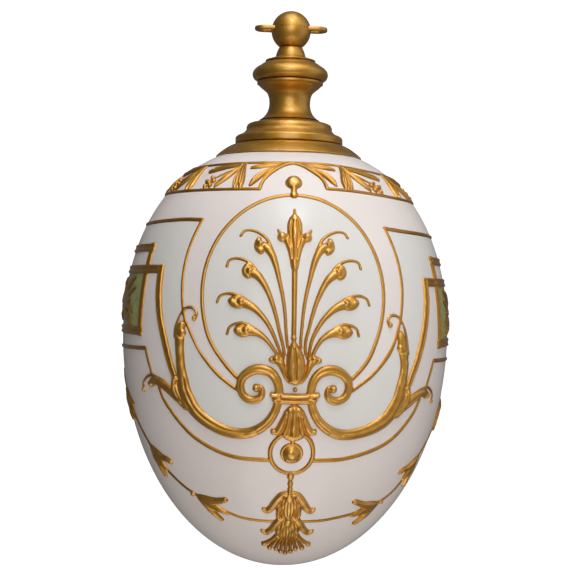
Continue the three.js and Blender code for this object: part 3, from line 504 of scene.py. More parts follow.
for name, profile in (("neck_collar", neck_profile()), ("knop_ring", knop_profile()),
                      ("baluster", baluster_profile()), ("base_disc", base_profile()),
                      ("flange_cap", cap_profile())):
    new_piece("brass_" + name, *turned(profile), BRASS, "egg", name, "brass")
for name, upper in (("ball_upper", True), ("ball_lower", False)):
    ball = turned(ball_profile(upper), BALL_SEGMENTS)
    new_piece("brass_" + name, *ball, BRASS, "hanger", name, "brass")
new_piece("brass_eyes", *eyes(), BRASS, "hanger", "eye_bar", "brass")
# fittings inside the egg keep their CAD form
for name, material in (("tie_rod", STEEL), ("toggle_bar", STEEL), ("clamp_nut", STEEL),
                       ("seat_washer", LEATHER)):
    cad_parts[name].data.materials.clear()
    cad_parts[name].data.materials.append(material)

# Places on the glaze

ROW_WIDTH = 0.9
LEAST_WIDTH = 0.1


def on_glaze(angle, depth):
    r = egg_radius(depth)
    return np.stack([r * np.sin(angle), -r * np.cos(angle), -np.asarray(depth, float)], -1)


def across(rows):
    """Rows of (x, depth, width) as (angle, depth, width)."""
    out = []
    for row in rows:
        sine = float(np.clip(row[0] / egg_radius(row[1]), -0.999, 0.999))
        out.append((math.asin(sine), row[1], row[2] if len(row) > 2 else ROW_WIDTH))
    return out


def around(rows):
    """Rows of (degrees, depth, width) as (angle, depth, width)."""
    return [(math.radians(row[0]), row[1], row[2] if len(row) > 2 else ROW_WIDTH) for row in rows]


def wide(rows, width):
    """Rows that have no width yet, given one."""
    return [(*row, width) for row in rows]


def curve(rows, spacing=0.1):
    """Smooth path through the rows on the glaze: angle, depth, half width."""
    rows = np.asarray(rows, float)
    path = flowing(np.hstack([on_glaze(rows[:, 0], rows[:, 1]), rows[:, 2:3]]), spacing)
    half = np.maximum(path[:, 3], LEAST_WIDTH) / 2
    return np.stack([np.arctan2(path[:, 0], -path[:, 1]), -path[:, 2], half], -1)


# Raised gilding: the height of the gold over one quarter of the egg, which is mirrored for the rest

TURN_STEP = math.radians(0.2)
TURN_COUNT = 451
RISE_STEP = 0.16
TOP_DEPTH = 39.2
FOOT_DEPTH = 147.0
# level without gold, lowest level that gets a face, slope at a strand's foot
SUNK = -0.35
LOWEST_FACE = -0.06
FOOT_SLOPE = 1.6
# reach of a strand's patch of the grid past its edge
MARGIN = 0.3
# reach of a square end past the last sample
SQUARE_REACH = 0.13
# level at which a groove has its full depth
FULL_CUT = 0.3


def meridian():
    depths = [TOP_DEPTH]
    while depths[-1] < FOOT_DEPTH:
        out, _ = egg_normal(depths[-1])
        depths.append(depths[-1] + RISE_STEP * float(out))
    return np.array(depths)


ROW_DEPTH = meridian()
COLUMN_ANGLE = np.arange(TURN_COUNT) * TURN_STEP
GRID = on_glaze(COLUMN_ANGLE[None, :], ROW_DEPTH[:, None] + 0 * COLUMN_ANGLE[None, :])


def crown(aside):
    """Round cross-section: 1 in the middle, 0 from the edge on."""
    return np.clip(1 - aside ** 2, 0, None)


class Relief:
    """Height of one motif's gold above the glaze."""

    def __init__(self):
        self.rise = np.full(GRID.shape[:2], SUNK)
        self.cut = np.zeros(GRID.shape[:2])

    def near(self, path, margin, square=False):
        """For each sample of the path and of its mirror images: the patch of the grid near it,
        the distances in that patch, and the half width. With square ends nothing reaches past
        the ends of the path."""
        for flip in (lambda a: a, lambda a: -a, lambda a: math.pi - a):
            angles = flip(path[:, 0])
            if angles.max() < -0.1 or angles.min() > math.pi / 2 + 0.1:
                continue
            spots = on_glaze(angles, path[:, 1])
            along = np.gradient(spots, axis=0) if len(spots) > 1 else np.zeros_like(spots)
            along /= np.maximum(np.linalg.norm(along, axis=1, keepdims=True), 1e-9)
            rows = np.searchsorted(ROW_DEPTH, path[:, 1])
            columns = np.round(angles / TURN_STEP).astype(int)
            for spot, ahead, row, column, sample in zip(spots, along, rows, columns, path):
                half = sample[2]
                tall = int((half + margin) / RISE_STEP) + 2
                wide = int((half + margin) / (TURN_STEP * float(egg_radius(sample[1])))) + 2
                patch = (slice(max(0, row - tall), max(0, row + tall + 1)),
                         slice(max(0, column - wide), max(0, column + wide + 1)))
                offset = GRID[patch] - spot
                if offset.size:
                    distance = np.sqrt((offset ** 2).sum(-1))
                    if square:
                        past = np.abs(offset @ ahead) > SQUARE_REACH
                        distance = np.where(past, half + margin, distance)
                    yield patch, distance, half

    def lay(self, patch, distance, half, inside):
        level = np.where(distance < half, inside, (half - distance) * FOOT_SLOPE)
        self.rise[patch] = np.maximum(self.rise[patch], level)

    def stroke(self, rows, height, power=0.7, thin=True):
        """Rounded strand laid along the rows; a narrow place is lower where thin is set."""
        for patch, distance, half in self.near(curve(rows), MARGIN):
            high = height * min(1.0, 0.45 + 0.55 * half) if thin else height
            self.lay(patch, distance, half, crown(distance / half) ** power * high)

    def boss(self, rows, radius, height, power=0.5):
        """Rounded button or berry at each of the rows."""
        for angle, depth, _ in rows:
            for patch, distance, half in self.near(np.array([[angle, depth, radius]]), MARGIN):
                self.lay(patch, distance, half, crown(distance / half) ** power * height)

    def bar(self, rows, height, groove=0.0):
        """Flat strip with square ends and, where asked, a sunk middle between two ridges."""
        for patch, distance, half in self.near(curve(rows), MARGIN, square=True):
            aside = distance / half
            flat = height * np.clip((1 - aside) / 0.22, None, 1)
            self.lay(patch, distance, half, flat - groove * crown(aside / 0.5))

    def carve(self, rows, deep, half=0.22):
        """Groove cut along the rows."""
        for patch, distance, _ in self.near(curve(rows), 2.2 * half):
            self.cut[patch] = np.maximum(self.cut[patch], deep * np.exp(-(distance / half) ** 2))

    def leaf(self, rows, height, vein=0.3):
        """Leaf with a sunk vein."""
        self.stroke(rows, height)
        self.carve([(a, d, 0.4) for a, d, _ in rows[:-1]], vein, 0.18)

    def draw(self, place, strokes=(), bosses=(), leaves=(), grooves=()):
        """Does the work of tables; an entry has the rows and then what the method takes."""
        for work, table in ((self.stroke, strokes), (self.boss, bosses), (self.leaf, leaves),
                            (self.carve, grooves)):
            for rows, *how in table:
                work(place(rows), *how)

    def surface(self):
        """Level of the gold less its grooves, smoothed once."""
        level = self.rise - self.cut * np.clip(self.rise / FULL_CUT, 0, 1)
        level[1:-1] = (level[:-2] + 2 * level[1:-1] + level[2:]) / 4
        level[:, 1:-1] = (level[:, :-2] + 2 * level[:, 1:-1] + level[:, 2:]) / 4
        return level


def relief_piece(name, relief, cad_node, side_on=False, whole=False, turn=0.0):
    """Mesh of a motif: the quarter and its mirror image, or all four where whole is set."""
    level = relief.surface()
    start = 0.0 if side_on else -math.pi / 2
    halves = [level, level[:, -2::-1]] if side_on else [level[:, :0:-1], level]
    level = np.hstack(halves)
    if whole:
        level = np.hstack([level, level[:, 1:-1]])
    angles = start + np.arange(level.shape[1]) * TURN_STEP + math.radians(turn)
    depth = ROW_DEPTH[:, None] + hand_lean(angles[None, :], ROW_DEPTH[:, None])
    out, up = egg_normal(depth)
    # the hand lays the gold unevenly thick
    wobble = 1 + 0.05 * np.sin(ROW_DEPTH[:, None] * 2.1 + 9 * np.sin(angles * 7)[None, :])
    level = np.where(level > 0, level * wobble, level)
    r = egg_radius(depth) + level * out
    z = -depth + level * up
    turned_by = angles[None, :] + hand_shift(angles[None, :], ROW_DEPTH[:, None])
    points = np.stack([r * np.sin(turned_by), -r * np.cos(turned_by), z], -1).reshape(-1, 3)
    quads = grid_faces(*level.shape, joined_columns=whole)
    flat = level.ravel()
    quads = quads[flat[quads].max(1) > LOWEST_FACE]
    used, faces = np.unique(quads.ravel(), return_inverse=True)
    faces = faces.reshape(-1, 4)
    piece = new_piece(name, points[used], faces, GILDING, "egg", cad_node, "gilding")
    add_values(piece, "rise", flat[used])
    return piece


# Scroll frame: oval, button, thin lines, scroll arms, volutes, tie, bell and ring

OVAL_HALF_WIDTH = 23.35
OVAL_CENTRE = 76
OVAL_RISE = 26.1
OVAL_DROP = 28.0


def oval_rows():
    """Half of the oval from its top; it draws in toward the volutes."""
    rows = []
    for a in np.linspace(0, math.radians(144), 60):
        drop = OVAL_DROP - 1.4 * float(eased_step(a, 1.8, 2.45))
        reach = OVAL_RISE if math.cos(a) >= 0 else drop
        rows.append((OVAL_HALF_WIDTH * math.sin(a), OVAL_CENTRE - reach * math.cos(a), 1.15))
    return rows


def arc_rows(centre, radius, start, end, width, count=25):
    """Rows on a circle; angles in degrees from straight up, turning outward."""
    turns = np.radians(np.linspace(start, end, count))
    x, depth = centre
    return [(x + radius * math.sin(a), depth - radius * math.cos(a), width) for a in turns]


OUTER_LINE = [(23.9, 57.2), (25.7, 61), (27.3, 65.5), (28.4, 71), (28.6, 75.5), (27.8, 82.5),
              (24.65, 90.05), (20.1, 95.7), (17, 98.2), (14.2, 100.1)]
ARM = [(28.3, 84.7, 1.9), (28.6, 85.9, 2.7), (28.9, 87.6, 3.1), (29.2, 90.1, 3),
       (29.2, 92.3, 2.8), (28.9, 95.5, 2.9), (28.4, 98.5, 3.5), (27.75, 101.5, 4),
       (26.5, 104.2, 4.2), (24.6, 106.9, 3.9), (21.2, 109.3, 3.45), (16.5, 111, 2.95),
       (12.4, 111.2, 2.8), (9.4, 110.2, 2.6), (6.7, 108.1, 2.4), (5.1, 105.6, 2.25),
       (4.4, 103.6, 2.15), (4.2, 102.2, 2.1)]
VOLUTE = [(4.15, 102.4, 2.1), (4, 101, 2.1), (4.1, 99.2, 2.2), (4.75, 97.1, 2.35),
          (6.1, 95.4, 2.5), (8, 94.6, 2.6), (10, 94.6, 2.55), (12, 95.5, 2.4),
          (13.4, 97, 2.25), (13.8, 98.9, 2.15), (13.2, 100.9, 2.1), (11.9, 102.1, 2.1),
          (10.3, 102.4, 2.05), (8.9, 101.8, 1.9), (8.3, 100.8, 1.75), (8.4, 99.7, 1.6),
          (9.1, 99, 1.5), (9.8, 99.1, 1.4)]
ARM_LEAF = [(29.8, 97.9, 0.8), (30.4, 99, 1.4), (30.3, 100.6, 2.1), (29.8, 102.4, 2.4),
            (28.7, 104.3, 2.3), (27.2, 106, 1.6)]
CURL = [(25.2, 82.7, 1.2), (24.6, 81.5, 0.9), (25.1, 80.4, 0.8), (26.3, 79.95, 0.8),
        (27.6, 80.4, 0.75), (28.8, 82, 0.75), (29.7, 84.3, 0.8), (30.2, 86.6, 0.9),
        (30.4, 88.8, 1)]
BRANCH = [(36, 106.2, 2), (40, 104.3, 2.8), (43.5, 102.6, 2.8), (47.5, 100.9, 2.6),
          (51, 100.1, 2.5), (53.4, 100.4, 2.2)]
FALL = [(50, 101.9), (48.1, 105), (45, 107.9), (41, 111), (36.5, 113.5), (28.5, 116.1),
        (19.3, 117.7), (8.3, 118)]


def beside(rows, shift):
    """Rows moved sideways by a distance, to the left of the way they run on the drawing."""
    rows = np.array([row[:2] for row in rows], float)
    along = np.gradient(rows, axis=0)
    along /= np.linalg.norm(along, axis=1, keepdims=True)
    return [(x + shift * dy, d - shift * dx) for (x, d), (dx, dy) in zip(rows, along)]


def scroll_frame():
    gold = Relief()
    gold.draw(across, strokes=[
        (oval_rows(), 0.45),
        (wide(OUTER_LINE, 1.05), 0.42),
        (ARM, 1, 0.6),
        (CURL, 0.6),
        (ARM_LEAF, 1.2, 0.55),
        (VOLUTE, 1, 0.55),
        ([(-0.5, 101.2, 1.3), (3, 101.1, 1.3), (5.7, 100.9, 1.5)], 1.35, 0.55, False),
        ([(-0.5, 102.5, 1.6), (3, 102.4, 1.6), (4.9, 102.2, 1.7)], 0.95, 0.55, False),
        # bell: a domed body, two lobes and a curled lip on each side
        ([(0, 105.2, 3.6), (0, 106, 5.2), (0, 107.2, 6.2), (0, 108.6, 7),
          (0, 109.4, 7.2)], 0.8, 0.4, False),
        ([(0, 104.6, 1.8), (0, 107.5, 2.1), (0, 110, 2.1), (0, 111, 1.5)], 1.1, 0.6, False),
        ([(1.1, 104.8, 1.7), (1.5, 107.6, 2), (2.1, 109.9, 2),
          (2.3, 110.8, 1.3)], 1.05, 0.6, False),
        ([(1.9, 105.4, 1.5), (2.6, 107.4, 1.9), (3.4, 109.2, 2), (4.3, 110.4, 1.7),
          (5.2, 110.6, 1.3)], 1.05, 0.6),
        ([(0, 110, 1), (-0.1, 112, 0.8), (-0.15, 113.4, 0.7)], 0.8),
        (arc_rows((0, 115.95), 5.5, 0, 180, 1.2), 0.5),
        ([(0, 47.6, 1.6), (0, 49, 1.6), (0, 49.9, 2.1)], 0.8, 0.5),
    ], bosses=[
        ([(25.2, 82.5)], 0.7, 0.85), ([(28.1, 87.4)], 1, 1.15), ([(29.7, 98.4)], 0.75, 1.35),
        ([(9.75, 99.3)], 1, 1.25), ([(0, 99.5)], 0.6, 0.7), ([(5.2, 110.3)], 0.7, 1.15),
        ([(0, 116)], 2.95, 0.8, 0.45), ([(0, 116.1)], 1.9, 1.6, 0.6),
        ([(0, 46.5)], 2.25, 1.5, 0.5),
    ], grooves=[
        (beside(ARM[6:14], 0.62), 0.28, 0.24),
        (beside(ARM[6:14], -0.62), 0.28, 0.24),
        (ARM[12:], 0.25, 0.3),
        ([(27.2, 88.4), (28.1, 88.7), (29.1, 88.3)], 0.4, 0.22),
        ([(29.5, 99.6), (29.9, 100.6), (29.6, 102), (28.8, 103.6), (27.8, 105)], 0.28, 0.22),
        (beside(VOLUTE[:14], 0.1), 0.3, 0.42),
        (arc_rows((9.75, 99.3), 1.2, 150, 330, 0.3, 12), 0.5, 0.2),
        ([(0, 101.85), (5.6, 101.6)], 0.5, 0.2),
        ([(0.75, 106.2), (0.95, 108.4), (1.1, 111)], 0.35, 0.26),
        ([(1.85, 106.6), (2.3, 108.6), (2.9, 110.4)], 0.45, 0.26),
        (arc_rows((0, 116.2), 2.3, -130, 130, 0.3, 20), 0.3, 0.24),
    ])
    gold.draw(around, strokes=[
        (wide([(36.4, 57.2), (55, 57.5), (75, 57.8), (90.5, 57.8)], 1.2), 0.45),
        (BRANCH, 0.95, 0.6),
        ([(50.5, 99.2, 0.7), (53.7, 98.7, 0.75), (57, 99.5, 0.8), (59.4, 101.1, 0.8),
          (59.6, 102.8, 0.95)], 0.6),
        (wide([(90.5, 92.2), (72, 92), (56.75, 91.75)], 1.15), 0.45),
        (wide([(56.75, 91.75), (55.2, 95), (53.2, 98.8)], 1.1), 0.45),
        (wide(FALL, 1.2), 0.45),
    ], bosses=[
        ([(53.9, 100.8)], 1.05, 1.2), ([(59.6, 102.9)], 0.6, 0.75),
    ], grooves=[
        ([(40, 104.2), (44, 102.4), (48, 100.8), (51, 100.2)], 0.3, 0.22),
        ([(55.2, 100.2), (55.3, 101.2), (54.4, 101.9)], 0.6, 0.22),
    ])
    return gold


# Palmette: lance leaf, sepals, four pairs of leaves that roll up round a ball, and a bud

LEAVES = [
    # blade, tendril, ball, roll beside the ball, head
    ([(1.6, 92, 0.6), (1.7, 87.8, 0.75), (2, 84.3, 0.8), (2.35, 80, 0.85), (2.95, 76, 0.95),
      (3.85, 72, 1.1), (4.8, 68.2, 1.5), (5.9, 65.3, 1.9), (7, 63.9, 2.2), (8.3, 63.3, 2.3)],
     [(5.7, 64.4, 0.9), (7, 61.7, 0.85), (8.6, 60.3, 0.8), (11, 59.4, 0.75), (12.9, 59.7, 0.75),
      (13.7, 60.8, 0.85)],
     (8.6, 62.95), None, [(9.1, 61.7, 1.3), (9.15, 62.7, 2.2), (8.95, 63.6, 2.7), (8.6, 64.6, 1.7),
                          (8.4, 65.1, 0.9)]),
    ([(2.5, 92.5, 0.6), (2.9, 87.8, 0.8), (3.75, 84.3, 0.85), (4.45, 81.4, 0.95),
      (5.65, 77.5, 1.15), (6.9, 74.5, 1.4), (8.1, 72.4, 1.7), (9.3, 71, 2.1), (10.4, 70.3, 2.3),
      (11.3, 70, 2.3)],
     [(8.9, 70.9, 0.9), (10.7, 68.4, 0.85), (12.6, 67.1, 0.8), (14.9, 66.7, 0.75),
      (16.6, 67.3, 0.75), (17.1, 68.7, 0.85)],
     (11.1, 69.85), None, [(11.7, 68.3, 1.1), (12, 69, 2.2), (12, 70, 2.7),
                           (11.6, 71.1, 1.4)]),
    ([(3.2, 92.5, 0.6), (3.8, 89.6, 0.75), (5, 86, 0.95), (6.9, 82.5, 1.2), (8.5, 80.6, 1.45),
      (10.2, 79.1, 1.8), (11.7, 78.3, 2.2), (13.1, 77.8, 2.5)],
     [(11, 78, 0.9), (13.4, 76.4, 0.85), (15.6, 75.7, 0.8), (17.5, 75.8, 0.75),
      (18.9, 76.6, 0.75), (19.4, 77.9, 0.85)],
     (13.2, 77.55), (15.4, 77.55), [(13.1, 77.7, 2.7), (14.1, 77.75, 3.3), (15.1, 77.6, 2.9),
                                    (16, 77.5, 1.6)]),
    ([(3.6, 92.6, 0.6), (5.1, 89.6, 0.9), (6.9, 87, 1.2), (8.1, 86, 1.5), (9.4, 85.3, 1.9),
      (10.6, 85, 2.3), (11.6, 84.9, 2.5)],
     [(9.3, 84.9, 0.9), (11.3, 83.5, 0.85), (12.9, 83, 0.8), (14.8, 83.3, 0.75),
      (16.2, 84.2, 0.75), (16.7, 85.8, 0.85)],
     (11.8, 84.6), (13.9, 84.75), [(11.7, 84.8, 2.7), (12.6, 84.95, 3.2), (13.5, 84.9, 2.9),
                                   (14.4, 84.9, 1.6)]),
]


def palmette():
    gold = Relief()
    gold.draw(across, strokes=[
        ([(0, 53.8, 0.6), (0, 54.6, 0.8), (0, 55.4, 1.2), (0, 56.4, 2.8), (0, 57.7, 3.8),
          (0, 59.3, 3.9), (0, 61, 3.6), (0, 63.5, 2.8), (0, 66, 2.1), (0, 69, 1.5)], 1.05, 0.55),
        ([(0, 68.5, 1.5), (0, 78, 1.3), (0, 87, 1.25)], 0.65),
        ([(0.45, 68.8, 1), (0.75, 66, 1.4), (1.1, 64, 1.7), (1.65, 62.4, 1.9), (2.4, 61.3, 2),
          (3.2, 60.8, 1.7), (3.8, 60, 1), (4.2, 59.2, 0.6)], 0.85, 0.55),
        ([(0, 86.3, 0.8), (0, 87.4, 1), (0, 88.6, 2), (0, 90, 3.4), (0, 91.6, 4.5),
          (0, 93.5, 4.9), (0, 95.4, 4.5), (0, 96.6, 3.6)], 1.3, 0.5),
        ([(1.3, 97.2, 1.7), (2, 96.1, 2), (2.9, 94.3, 2.1), (3.7, 92.9, 2.1), (4.6, 92.1, 2.2),
          (5.5, 92, 1.9), (6.2, 92.1, 1.1)], 0.95, 0.55),
    ], bosses=[
        ([(3.15, 61)], 1.3, 1.5), ([(0, 86.5)], 0.7, 1.1), ([(4.7, 91.7)], 0.85, 1.35),
    ], grooves=[
        ([(0.6, 57), (0.82, 58.5), (0.8, 61), (0.5, 63.8), (0.4, 66.5)], 0.55, 0.26),
        ([(1.5, 59.8), (1.35, 61.5), (1, 63.5)], 0.35, 0.2),
        (arc_rows((3.1, 60.9), 1.15, 150, 260, 0.3, 10), 0.3, 0.2),
        ([(0, 88.9), (0, 92), (0, 96.8)], 0.6, 0.26),
        ([(0.8, 87.2), (1.2, 88.3), (1.9, 89.6), (2.4, 91)], 0.6, 0.22),
        ([(2.4, 91), (2.6, 93), (2.4, 95), (1.8, 97)], 0.7, 0.26),
        (arc_rows((4.7, 91.7), 1.05, 60, 150, 0.3, 10), 0.35, 0.22),
    ])
    for blade, tendril, ball, roll, head in LEAVES:
        gold.draw(across, strokes=[(blade, 0.85, 0.6), (head, 0.85, 0.45), (tendril, 0.5)])
        gold.boss(across([ball]), 0.9, 1.35, 0.55)
        # groove round the ball, on the side of the leaf's head
        way = math.degrees(math.atan2(head[2][0] - ball[0], ball[1] - head[2][1]))
        gold.carve(across(arc_rows(ball, 1.1, way - 75, way + 75, 0.3, 12)), 0.14, 0.25)
        if roll:
            gold.boss(across([roll]), 0.85, 1.1, 0.55)
    return gold


# Festoon: garland with husks, and a pendant of leaves under the ring

FRONT_HUSK = [
    [(23.4, 130.4, 1), (21.2, 130.8, 2.1), (18.9, 130.8, 2), (17.2, 130.3, 1.7),
     (16.4, 129.9, 1.5)],
    [(23.4, 130.4, 1), (21.3, 132.4, 2), (19.2, 134.4, 1.9), (17.1, 136.2, 1.3)],
    [(22.8, 131, 1.7), (20.6, 132, 3.2), (18.2, 133, 2.6), (15.8, 133.9, 1.2)],
]
SIDE_HUSKS = [
    [[(63.6, 118.5, 0.9), (59.6, 120.1, 2), (56, 121.2, 1.8), (53.2, 121.5, 1.5),
      (51.6, 122, 1.3)],
     [(63.6, 118.5, 0.9), (62, 121.4, 2), (60.6, 124, 1.7), (59.4, 126.4, 1)],
     [(62.8, 119.6, 1.5), (60.4, 121.6, 2.8), (58.2, 123.2, 2), (56.4, 124.4, 1)]],
    [[(81.4, 104, 0.9), (77.6, 105.7, 1.8), (74.6, 107, 1.6), (72.2, 107.9, 1.1)],
     [(81.4, 104, 0.9), (80, 107.1, 1.8), (78.8, 109.8, 1.6), (77.9, 112.2, 1)],
     [(80.4, 105.3, 1.5), (77.4, 107.8, 2.7), (75, 109.9, 2), (73.2, 111.3, 1)]],
]
GARLAND = [(90.5, 99), (83.5, 102.4), (77.2, 107.4), (71.8, 112.2), (66.8, 116.2), (61.4, 121),
           (57, 124.4), (51, 127.6), (46.8, 129.3), (36.3, 132), (29.2, 133.5), (22, 134.7),
           (14.7, 135.2), (4, 135.3)]


def festoon():
    gold = Relief()
    gold.stroke(around(wide(GARLAND, 1.05)), 0.42)
    gold.draw(across, strokes=[
        ([(0, 121.7, 1.8), (0, 122.5, 1.8)], 0.8, 0.5),
        ([(0, 122.6, 1.1), (0, 126.8, 1.1)], 0.5),
        # body that carries the leaves
        ([(0, 127.6, 3), (0, 128.8, 5.2), (0, 130.4, 6.6), (0, 132.2, 6.8), (0, 134, 6.2),
          (0, 136, 6.6), (0, 138.4, 6.4), (0, 140.4, 6)], 0.55, 0.4, False),
        ([(0, 126.8, 1.5), (0, 128.2, 2.4), (0, 130.4, 3.4), (0, 132.4, 3.2),
          (0, 134, 1.6)], 1.1, 0.5, False),
        ([(0, 134.6, 2.2), (0, 136.8, 3.3), (0, 139.2, 3), (0, 141, 1.5)], 1, 0.5, False),
    ], bosses=[
        ([(24.6, 130.1)], 0.75, 0.85), ([(0, 124.4)], 0.75, 0.9), ([(0, 125.8)], 0.7, 0.8),
    ], leaves=[
        ([(0.8, 127, 1.5), (2.1, 127.6, 1.9), (3.6, 129.6, 2.1), (4.7, 131.4, 2),
          (5.8, 132.1, 1.6), (6.6, 131.6, 1)], 1.15),
        ([(1.2, 128.6, 1.2), (2.1, 131, 1.8), (2.5, 133.2, 1.7), (2.6, 134.6, 1)], 0.95),
        ([(1.4, 133.8, 1.4), (2.8, 135.4, 1.9), (4.2, 137.6, 1.9), (5.5, 138.6, 1.6),
          (6.6, 138.2, 1)], 1.15),
        ([(1.2, 134.6, 1.2), (1.9, 137.2, 1.8), (2.4, 139.4, 1.5), (2.8, 140.6, 0.9)], 1),
    ], grooves=[
        ([(0.5, 129), (0.65, 131), (0.5, 133)], 0.2, 0.2),
        ([(0.45, 136.2), (0.6, 138), (0.45, 140)], 0.2, 0.2),
        ([(1.55, 127.6), (2.2, 130.2), (2, 133.6)], 0.6, 0.24),
        ([(1.75, 135), (2.2, 138)], 0.5, 0.22),
    ])
    husks = [[across(rows) for rows in FRONT_HUSK]]
    husks += [[around(rows) for rows in husk] for husk in SIDE_HUSKS]
    for husk in husks:
        for rows, height in zip(husk, (1, 1, 0.85)):
            gold.leaf(rows, height, 0.25)
    # fringe of tips at the pendant's foot
    for x, depth in ((5.9, 142.4), (4.3, 143.6), (2.6, 143.9), (1.3, 144.8), (0, 145.3)):
        start = 0.35 + 0.28 * x
        bend = start + 0.45 * (x - start)
        gold.stroke(across([(start, 138.6, 1.5), (bend, 141, 1.5), (x, depth, 1.3)]), 0.75, 0.6)
        gold.boss(across([(x, depth)]), 0.8, 0.95, 0.6)
    for x, depth in ((0.65, 145), (1.9, 144.4), (3.4, 143.8), (5, 142.9)):
        gold.carve(across([(0.3 + 0.32 * x, 139.8), (0.12 + 0.75 * x, 142), (x, depth)]), 0.5, 0.2)
    return gold


# Stepped frame and leaf relief of a side panel

PANEL_MIDDLE = 79


def panel_frame():
    gold = Relief()
    for rows in ([(50.4, 70.65), (60, 70.65), (75, 70.7), (90.5, 70.7)],
                 [(59.5, 64.8), (70, 64.8), (80, 64.9), (90.5, 64.9)],
                 [(59.5, 87.3), (70, 87.3), (80, 87.3), (90.5, 87.3)],
                 [(61, 63.6), (61, 76), (61, 88.5)]):
        gold.bar(around(wide(rows, 2.4)), 0.45, 0.2)
    gold.bar(around([(51.9, 69.6, 2.5), (50.9, 77, 2.5), (49.1, 83, 2.4), (46.3, 89.5, 2.3),
                     (43.4, 95.5, 2.1), (42.2, 97.8, 1.9), (41, 99.4, 1.7)]), 0.6, 0.22)
    return gold


def panel_relief():
    gold = Relief()
    gold.boss(around([(90, PANEL_MIDDLE)]), 2.2, 0.9)
    gold.carve(around([(87.2, PANEL_MIDDLE), (88.2, 77.6), (90, 76.9)]), 0.3, 0.2)
    # leaves above the middle, which are mirrored below it, and one that lies on it
    for rows in ([(88, 0.5, 1.4), (83, 2, 2.6), (77, 3.8, 2.7), (72, 5.4, 1.7), (69, 6.3, 0.7)],
                 [(81, 1.1, 1), (76, 1.6, 1.7), (71.5, 2.4, 1.4), (67.8, 3.4, 0.7)],
                 [(90, 1.4, 1.2), (90, 3.6, 2.4), (90, 5.8, 1)],
                 [(87, 0, 1.4), (81, 0, 2.4), (76, 0, 2), (72, 0, 0.8)]):
        for way in (-1, 1):
            leaf = [(turn, PANEL_MIDDLE + way * rise, width) for turn, rise, width in rows]
            gold.leaf(around(leaf), 0.7)
    return gold


# Shoulder band: two lines with leaf sprays and berries between them, arched over the button

# parts of a spray, from the angle where it starts
STANDING_LEAVES = [
    ([(0.4, 41.3, 0.9), (-0.7, 43.2, 1.4), (-1.7, 45.2, 1.9), (-2.4, 46.9, 1.7),
      (-2.7, 48, 0.9)], 0.8),
    ([(1.5, 41.4, 0.9), (1.3, 43.5, 1.3), (1, 45.6, 1.7), (0.3, 47.3, 1.4),
      (-0.2, 48.1, 0.8)], 0.7),
]
LYING_LEAVES = [
    ([(1.5, 41.2, 1.1), (6.5, 41.6, 1.6), (12.5, 42.1, 2), (18, 42.7, 2.1), (21, 43.2, 1.3)], 0.8),
    ([(2, 41.7, 1), (4.4, 43.4, 1.7), (7, 45, 2.2), (9.3, 46.5, 1.7), (10.6, 47.4, 0.9)], 0.8),
]
BERRIES = [(13, 45.9), (15, 45), (15.6, 46.3), (13.8, 47.1), (17.3, 46), (16.6, 47.4)]


def moved(rows, start):
    """Rows moved round the egg by an angle."""
    return [(start + row[0], *row[1:]) for row in rows]


def shoulder_band():
    gold = Relief()
    gold.draw(around, strokes=[
        (wide([(-1, 40.65), (30, 40.8), (60, 41), (91, 41.1)], 1.1), 0.5),
        (wide([(14.9, 48.3), (40, 48.3), (65, 48.3), (91, 48.3)], 1.1), 0.5),
    ])
    gold.draw(across, strokes=[
        ([(8.9, 48.3, 1.1), (8.2, 46.4, 1.1), (6.9, 44.7, 1.15), (4.6, 42.8, 1.2), (2.2, 41.4, 1.3),
          (0, 40.8, 1.3)], 0.6),
    ], leaves=[
        ([(3.4, 41.8, 1), (6.4, 43, 1.6), (8.7, 44.5, 2.2), (10.3, 46, 2),
          (11.3, 47.2, 1)], 0.8),
        ([(2.4, 41.2, 1), (5.5, 41.5, 1.5), (8.4, 41.9, 1.8), (10.8, 42.3, 1.1)], 0.75),
    ])
    for start in (26.5, 56.5, 87):
        gold.draw(lambda rows: around(moved(rows, start)), leaves=STANDING_LEAVES)
    for start in (26.5, 56.5):
        gold.draw(lambda rows: around(moved(rows, start)), leaves=LYING_LEAVES, strokes=[
            ([(4, 42.6, 0.8), (9, 43.8, 0.8), (13, 45, 0.7)], 0.55),
        ], bosses=[(BERRIES, 0.75, 0.8)])
    return gold


FACES = (("scroll_frame_", scroll_frame()), ("palmette_", palmette()), ("festoon_", festoon()))
for face, turn in (("front", 0), ("back", 180)):
    for motif, gold in FACES:
        relief_piece("gilt_" + motif + face, gold, motif + face, turn=turn)
PANELS = (("gilt_panel_frame_", "panel_frame_", panel_frame()),
          ("gilt_panel_leaves_", "panel_rosette_", panel_relief()))
for face, turn in (("right", 0), ("left", 180)):
    for motif, cad_node, gold in PANELS:
        relief_piece(motif + face, gold, cad_node + face, side_on=True, turn=turn)
relief_piece("gilt_shoulder_band", shoulder_band(), "shoulder_band", whole=True)

# Glazed egg with its coloured fields

# a field that runs round the side is drawn a little past it
PAST_SIDE = math.radians(95)
PAST_FRONT = math.radians(-5)
EGG_SEGMENTS = 360
# green ground of a side panel, inside its gilt frame
PANEL_TOP = 71.4
PANEL_FOOT = 86.6
PANEL_EDGE = math.radians(61.5)


